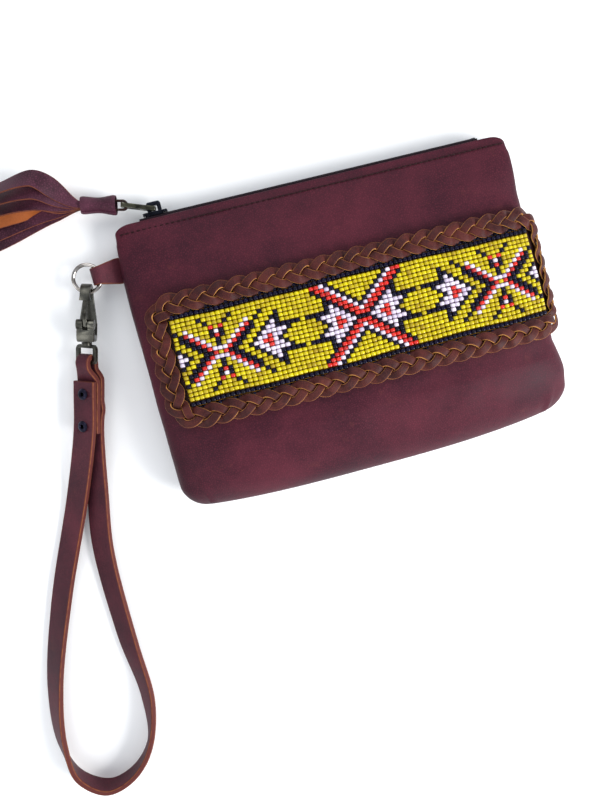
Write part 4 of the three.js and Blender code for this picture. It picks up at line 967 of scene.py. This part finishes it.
def tape_ends():
    along, across = np.linspace(TAPE_END_FROM, TAPE_END_TO, 16), np.linspace(-1, 1, 12)
    x, share = np.meshgrid(along, across, indexing="ij")
    for name, side in (("left", -1), ("right", 1)):
        level = TAPE_END_Y - rim_drop(x) - TAPE_END_SAG * (1 - share**2)
        top = xyz(side * x, level, ZIP_Z + TAPE_END_HALF * share)
        cloth_slab("tape_end_" + name, np.concatenate([top, top[:, ::-1] - [0, TAPE_END_THICK, 0]], 1))


zip_tapes()
zip_teeth()
tape_ends()


# Metal pieces: a merged copy of the solid with rounded edges
def rounded_metal(node, name, body, slot, material, width, segments=2):
    def round_edges(work):
        bmesh.ops.dissolve_limit(work, angle_limit=math.radians(2), verts=work.verts, edges=work.edges)
        whole = [e for e in work.edges if len(e.link_faces) == 2]
        sharp = [e for e in whole if e.calc_face_angle() > math.radians(35)]
        bmesh.ops.bevel(
            work, geom=sharp, offset=width * MM, offset_type="OFFSET", segments=segments, profile=0.5,
            affect="EDGES", clamp_overlap=True,
        )

    made = placed(name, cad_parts[node].data.copy())
    made.data.materials.clear()
    made.data.materials.append(material)
    settle(tidy_shell(made, 2e-6, 48, round_edges), body, slot, node)


for stop in ("zip_top_stop_front", "zip_top_stop_back", "zip_end_stop"):
    rounded_metal(stop, stop + "_metal", "pouch", "zip_teeth", ZIP_METAL, 0.3)
rounded_metal("zip_slider", "slider_metal", "slider", "slider_black", SLIDER_METAL, 0.22)
rounded_metal("zip_pull", "pull_metal", "pull", "pull_brass", PULL_METAL, 0.25)
rounded_metal("snap_hook", "hook_metal", "hook", "hook_metal", HOOK_METAL, 0.3)
rounded_metal("gate_pin", "gate_pin_metal", "hook", "hook_metal", HOOK_METAL, 0.18)
rounded_metal("hook_gate", "gate_metal", "gate", "hook_metal", HOOK_METAL, 0.3)
rounded_metal("swivel_eye", "eye_metal", "eye", "hook_metal", HOOK_METAL, 0.4, 3)


def tab_ring():
    turn, tube = np.meshgrid(circle(72), circle(16), indexing="ij")
    reach = RING_RADIUS + RING_WIRE * np.cos(tube)
    x, y = RING_X + reach * np.cos(turn), TAB_Y + reach * np.sin(turn)
    points = xyz(x, y, RING_Z + RING_WIRE * np.sin(tube))
    made = tidy_shell(piece_from("ring_metal", points, grid_faces(72, 16, True, True), RING_METAL))
    settle(made, "ring", "ring_silver", "tab_ring")


tab_ring()


# A leather band along a path: cut edges at its sides, a grain face and a flesh face.
# Each step of its edge has an inset, a share of the half thickness and a mark for the cut edge.
BAND_EDGE = ((0.0, 0.0, 0.5), (0.0, 0.5, 0.55), (0.1, 0.84, 1.0), (0.34, 0.98, 0.45), (0.75, 1.0, 0.0))


def leather_band(name, points, across, widths, thick, material, edge_size=1.0):
    across = np.broadcast_to(across, points.shape)
    through = unit(np.cross(np.gradient(points, axis=0), across))
    upper = [(-1, inset * edge_size, height, mark) for inset, height, mark in BAND_EDGE]
    upper += [(0, 0.0, 1.0, 0.0)] + [(1, inset, height, mark) for _, inset, height, mark in upper[::-1]]
    lower = [(side, inset, -height, mark) for side, inset, height, mark in upper[-2:0:-1]]
    profile = upper + lower
    rings = [
        [
            point + side_on * side * (width / 2 - inset) + normal * height * thick / 2
            for side, inset, height, _ in profile
        ]
        for point, side_on, normal, width in zip(points, across, through, widths)
    ]
    made = piece_from(name, rings, tube_faces(len(rings), len(profile)), material)
    edge = np.tile([mark for *_, mark in profile], (len(rings), 1))
    edge[[0, -1]] = np.maximum(edge[[0, -1]], 0.5)
    set_mark(made.data, "edge", edge.ravel())
    set_mark(made.data, "flesh", [height < -0.4 for _, _, height, _ in profile] * len(rings))
    return tidy_shell(made, 1e-7, smooth_angle=50)


# Fringe, built along +X from the pull's end bar
def fringe_frame():
    turn = math.radians(PULL_ANGLE)
    x, y = PULL_AT[0] + PULL_LENGTH * math.cos(turn), PULL_AT[1] + PULL_LENGTH * math.sin(turn)
    return Matrix.Translation((x, y, ZIP_Z)) @ Matrix.Rotation(math.radians(FRINGE_ANGLE), 4, "Z")


FRINGE = np.array(fringe_frame())


def from_fringe(points):
    return np.asarray(points, float) @ FRINGE[:3, :3].T + FRINGE[:3, 3]


# The lower strips fan out slowly, the upper ones at once, with a bow; all sink to the floor
def fringe_strip(index, width, twist, wave):
    order, steps = index - (len(STRIPS) - 1) / 2, len(STRIPS) - 1
    share = np.linspace(0, 1, 120)
    rise = smooth_step(share, 0.12, 0.42)
    fan = rise if order > 0 else LOWER_FAN * smooth_step(share, 0.12, 0.8)
    sink = (ZIP_Z - STACK_HALF - GAP) * smooth_step(share, 0.3, 0.9)
    bow = np.sin(np.pi * np.clip((share - 0.14) / 0.52, 0, 1)) ** 2
    bow = STRIP_BOW * max(0, 2 * order) / steps * bow
    z = STRIP_STEP * order + STRIP_ARCH * index * rise * np.sin(np.pi * share) - sink
    spread = STRIP_SPREAD * order * fan
    y = STRIP_SWEEP * share**2 - spread - bow + wave * fan * np.sin(5 * share + index)
    points = xyz(STRIP_START + (STRIP_LENGTH - STRIP_START) * share, y, z)
    ahead = np.gradient(points, axis=0)
    across = unit(np.cross((0.0, 0.0, 1.0), ahead))
    across = turned_about(ahead, across, math.radians(twist) * smooth_step(share, 0.16, 0.6))
    across = across @ FRINGE[:3, :3].T
    widths = STRIP_ROOT + (width - STRIP_ROOT) * smooth_step(share, 0.1, 0.32)
    name, points = f"strip_{index + 1}", from_fringe(points)
    made = leather_band(name, points, across, widths, STRIP_THICK, FRINGE_LEATHER, 0.5)
    settle(made, "fringe", "leather_fringe", f"fringe_strip_{index + 1}")


def fringe_thong():
    bend = math.hypot(*END_BAR) / 2 + GAP + THONG_THICK / 2
    angles = np.pi / 2 + np.linspace(0, np.pi, 24)
    legs = np.linspace(STRIP_START - GAP, bend, 12)
    loop = xyz(bend * np.cos(angles), bend * np.sin(angles), 0.0)
    points = from_fringe(np.concatenate([xyz(legs, bend, 0.0), loop, xyz(legs[::-1], -bend, 0.0)]))
    made = band_on_path("thong", points, (0, 0, 1), THONG_WIDTH, THONG_THICK, BACKING_LEATHER, around=14)
    settle(made, "fringe", "leather_fringe", "fringe_thong")


def fringe_cap():
    bore = math.hypot(STACK_HALF, STRIP_ROOT / 2) + 0.05
    along, turn = np.meshgrid(np.linspace(0, 1, 24), np.linspace(0, 2 * np.pi, 64), indexing="ij")
    inside = bore + 1.1 * (1 - smooth_step(along, 0, 0.5)) + 0.55 * smooth_step(along, 0.5, 1)
    lap = CAP_LAP * smooth_step(turn, 0.2, 0.75) - 0.45
    soft = 0.25 * (1 - np.minimum(1, np.minimum(along, 1 - along) / 0.06))
    outside, turn = inside + CAP_WALL + lap - soft, turn + 0.6
    outside, inside = (
        xyz(CAP_FROM + CAP_LENGTH * along, radii * np.cos(turn), radii * np.sin(turn))
        for radii in (outside, inside)
    )
    rows = np.concatenate([outside, inside[::-1]])
    faces = grid_faces(*rows.shape[:2], closed_rows=True, closed_columns=True)
    made = piece_from("cap", from_fringe(rows), faces, FRINGE_LEATHER)
    settle(tidy_shell(made, 2e-6, smooth_angle=50), "fringe", "leather_fringe", "fringe_cap")


for number, form in enumerate(STRIPS):
    fringe_strip(number, *form)
fringe_thong()
fringe_cap()


# Side tab, folded round the ring
def side_tab():
    half, _, _, seam, _, _ = section(TAB_Y)
    root = -half - GAP
    inside = RING_RADIUS - RING_WIRE
    bend = RING_RADIUS - math.sqrt(inside**2 - (TAB_TIP / 2) ** 2) + GAP + TAB_THICK / 2
    spread = TAB_THICK / 2 + GAP / 2
    legs = np.linspace(0, 1, 16)
    x = root + (FOLD_X - root) * legs
    lower = seam - spread + (RING_Z - bend - seam + spread) * legs
    upper = seam + spread + (RING_Z + bend - seam - spread) * legs
    angles = np.linspace(0, np.pi, 28)[1:-1]
    x = np.concatenate([x, FOLD_X - bend * np.sin(angles), x[::-1]])
    z = np.concatenate([lower, RING_Z - bend * np.cos(angles), upper[::-1]])
    widths = np.interp(-x, (-root, -root + 2, -FOLD_X + 1), (TAB_WIDTH, TAB_WIDTH, TAB_TIP + 0.4))
    made = leather_band("tab_leather", xyz(x, TAB_Y, z), (0, 1, 0), widths, TAB_THICK, STRAP_LEATHER)
    settle(made, "pouch", "leather_maroon", "side_tab")


side_tab()


# Wrist strap: from its cut end down the outer arm, round the loop, up to the eye's bar and back as a tail
L_AXIS = np.array([math.cos(math.radians(HOOK_ANGLE)), math.sin(math.radians(HOOK_ANGLE)), 0.0])
B_AXIS = np.array([L_AXIS[1], -L_AXIS[0], 0.0])
UP = np.array([0.0, 0.0, 1.0])
LEAN = math.radians(STRAP_LEAN)
STRAP_E = UP * math.cos(LEAN) + B_AXIS * math.sin(LEAN)
STRAP_M = B_AXIS * math.cos(LEAN) - UP * math.sin(LEAN)
BAR = np.array([RING_X, TAB_Y, HOOK_Z]) - L_AXIS * EYE_BAR
STRAP_LAYER = STRAP_THICK + 1.5 * GAP
TAIL_OFF, INNER_OFF, OUTER_OFF = STRAP_LAYER / 2, 1.5 * STRAP_LAYER, -0.5 * STRAP_LAYER
BEND = EYE_WIRE / math.sqrt(2) + GAP + STRAP_THICK / 2
LOOP_REACH, LOOP_LENGTH = 65.0, 216.0
# Shares of the loop's reach and length, and the share of the lean and the turn in degrees there
LOOP = (
    (0.369, 0.292, 1, 0), (0.708, 0.514, 0.93, 0), (0.957, 0.717, 0.72, 5), (1.04, 0.863, 0.5, 25),
    (0.991, 0.952, 0.22, 65), (0.8, 1, 0.05, 100), (0.59, 0.986, 0.02, 98), (0.4, 0.928, 0.1, 45),
    (0.302, 0.81, 0.55, 8), (0.32, 0.653, 0.9, 0), (0.298, 0.424, 1, 0), (0.214, 0.292, 1, 0),
)


def strap_at(along, off):
    return BAR - L_AXIS * along + STRAP_M * off


def loop_at(reach, length, leaning, turning):
    lean = LEAN * leaning
    side = np.array(Matrix.Rotation(math.radians(turning), 3, "Z")) @ B_AXIS
    across = UP * math.cos(lean) + side * math.sin(lean)
    z = (STRAP_WIDTH * math.cos(lean) + STRAP_THICK * math.sin(lean)) / 2 + 2 * GAP
    at = np.array([BAR[0] - LOOP_REACH * reach, BAR[1] - LOOP_LENGTH * length, z])
    return at, across * STRAP_WIDTH


def strap_knots():
    first, second = RIVETS_AT
    middle = (first + second) / 2

    def upper(rows, width=STRAP_WIDTH):
        return [(strap_at(along, off), STRAP_E * width) for along, off in rows]

    knots = upper([(first - 6, OUTER_OFF), (first, OUTER_OFF), (second + 1.5, OUTER_OFF)])
    knots += [loop_at(*spot) for spot in LOOP]
    knots += upper([(second + 5.5, INNER_OFF), (second - 3.5, INNER_OFF), (middle, INNER_OFF + 0.8)])
    knots += upper([(first + 3.5, INNER_OFF), (first, INNER_OFF), (first / 2, INNER_OFF - 0.3)])
    round_bar = [(-BEND * math.sin(a), BEND * math.cos(a)) for a in np.linspace(0, np.pi, 5)]
    knots += upper([(BEND, BEND + 0.3), *round_bar, (BEND, -BEND + 0.6)], STRAP_NECK)
    knots += upper([((BEND + first) / 2, TAIL_OFF - 0.3), (first, TAIL_OFF)])
    knots += upper([(middle, TAIL_OFF), (second + 3.5, TAIL_OFF)])
    return knots


# A smooth curve through the knots that doesn't overshoot where they lie close together
def smooth_path(knots, steps):
    knots = np.array(knots)
    whole = np.concatenate([[2 * knots[0] - knots[1]], knots, [2 * knots[-1] - knots[-2]]])
    path = []
    for p0, p1, p2, p3 in zip(whole, whole[1:], whole[2:], whole[3:]):
        gaps = [np.linalg.norm(b - a) ** 0.5 for a, b in ((p0, p1), (p1, p2), (p2, p3))]
        d1 = gaps[1] if gaps[1] > 1e-4 else 1.0
        d0, d2 = (g if g > 1e-4 else d1 for g in (gaps[0], gaps[2]))
        t1 = ((p1 - p0) / d0 - (p2 - p0) / (d0 + d1) + (p2 - p1) / d1) * d1
        t2 = ((p2 - p1) / d1 - (p3 - p1) / (d1 + d2) + (p3 - p2) / d2) * d1
        square, cube = 3 * (p2 - p1) - 2 * t1 - t2, 2 * (p1 - p2) + t1 + t2
        path += [p1 + t1 * t + square * t * t + cube * t**3 for t in np.arange(steps) / steps]
    return np.array(path + [knots[-1]])


def lathe(name, profile, along, material, around=40):
    turn, at = np.float32((L_AXIS, STRAP_M, -STRAP_E)), np.float32(strap_at(along, TAIL_OFF))
    points = turned(profile, around, (0, 2, 1)) @ turn + at
    faces = grid_faces(len(profile), around, True, True)
    return tidy_shell(piece_from(name, points, faces, material), smooth_angle=40)


def wrist_strap():
    points, across = (smooth_path(row, 14) for row in zip(*strap_knots()))
    widths = np.linalg.norm(across, axis=1)
    made = leather_band("strap_leather", points, unit(across), widths, STRAP_THICK, STRAP_LEATHER, 1.3)
    rod = ((0.0, -14), (RIVET_BORE, -14), (RIVET_BORE, 14), (0.0, 14))
    for along in RIVETS_AT:
        bore = lathe("bore", rod, along, STRAP_LEATHER, 20)
        cut = made.modifiers.new("bore", "BOOLEAN")
        cut.operation, cut.object, cut.solver = "DIFFERENCE", bore, "EXACT"
        mesh = bpy.data.meshes.new_from_object(made.evaluated_get(bpy.context.evaluated_depsgraph_get()))
        made.modifiers.remove(cut)
        made.data = mesh
        bpy.data.objects.remove(bore)
    settle(made, "strap", "leather_maroon", "wrist_strap")
    half = STRAP_LAYER + STRAP_THICK / 2 + GAP
    rim = ((0.9, 0.35), (1.15, 0.66), (1.7, 0.7), (2.3, 0.48), (2.7, 0.05), (2.5, 0.0), (1.5, 0.0))
    profile = [(r, half + v) for r, v in rim] + [(r, -half - v) for r, v in rim[::-1]]
    for number, along in enumerate(RIVETS_AT):
        eyelet = lathe(f"eyelet_{number + 1}", profile, along, RIVET_METAL)
        settle(eyelet, "strap", "rivet_dark", f"strap_rivet_{number + 1}")


wrist_strap()


# Floor and studio light
FLOOR_REACH, FLOOR_Z = 3000.0, -0.3
LIGHTS = (
    ("key", (0.66, -0.4, 0.6), 0.5, 12.0),
    ("fill", (-0.75, -0.3, 0.7), 0.9, 3.5),
    ("back", (0.1, 0.85, 0.7), 0.9, 4.5),
    ("front", (-0.1, -0.75, 0.14), 0.8, 2.0),
)
LIT_POINT = Vector((0, 0, 0.02))
SKY_COLOUR, SKY_STRENGTH = (0.84, 0.9, 1.0, 1.0), 0.6


def stage():
    material, tree, shader = new_material("pale_floor", Roughness=0.9)
    paint(tree, shader, mixed(tree, speckle(tree, 40.0), (250, 250, 249), (254, 254, 253)))
    corners = [(a * FLOOR_REACH, b * FLOOR_REACH, FLOOR_Z) for a, b in ((-1, -1), (1, -1), (1, 1), (-1, 1))]
    piece_from("floor", corners, [(0, 1, 2, 3)], material)
    for name, at, size, power in LIGHTS:
        data = bpy.data.lights.new(name, "AREA")
        data.size, data.energy = size, power
        light = placed(name, data)
        light.location = at
        light.rotation_mode = "QUATERNION"
        light.rotation_quaternion = (LIT_POINT - Vector(at)).to_track_quat("-Z", "Y")
    scene = bpy.context.scene
    scene.world = bpy.data.worlds.new("studio")
    scene.world.use_nodes = True
    sky = scene.world.node_tree.nodes["Background"].inputs
    sky["Color"].default_value, sky["Strength"].default_value = SKY_COLOUR, SKY_STRENGTH
    scene.view_settings.view_transform = "Standard"


stage()
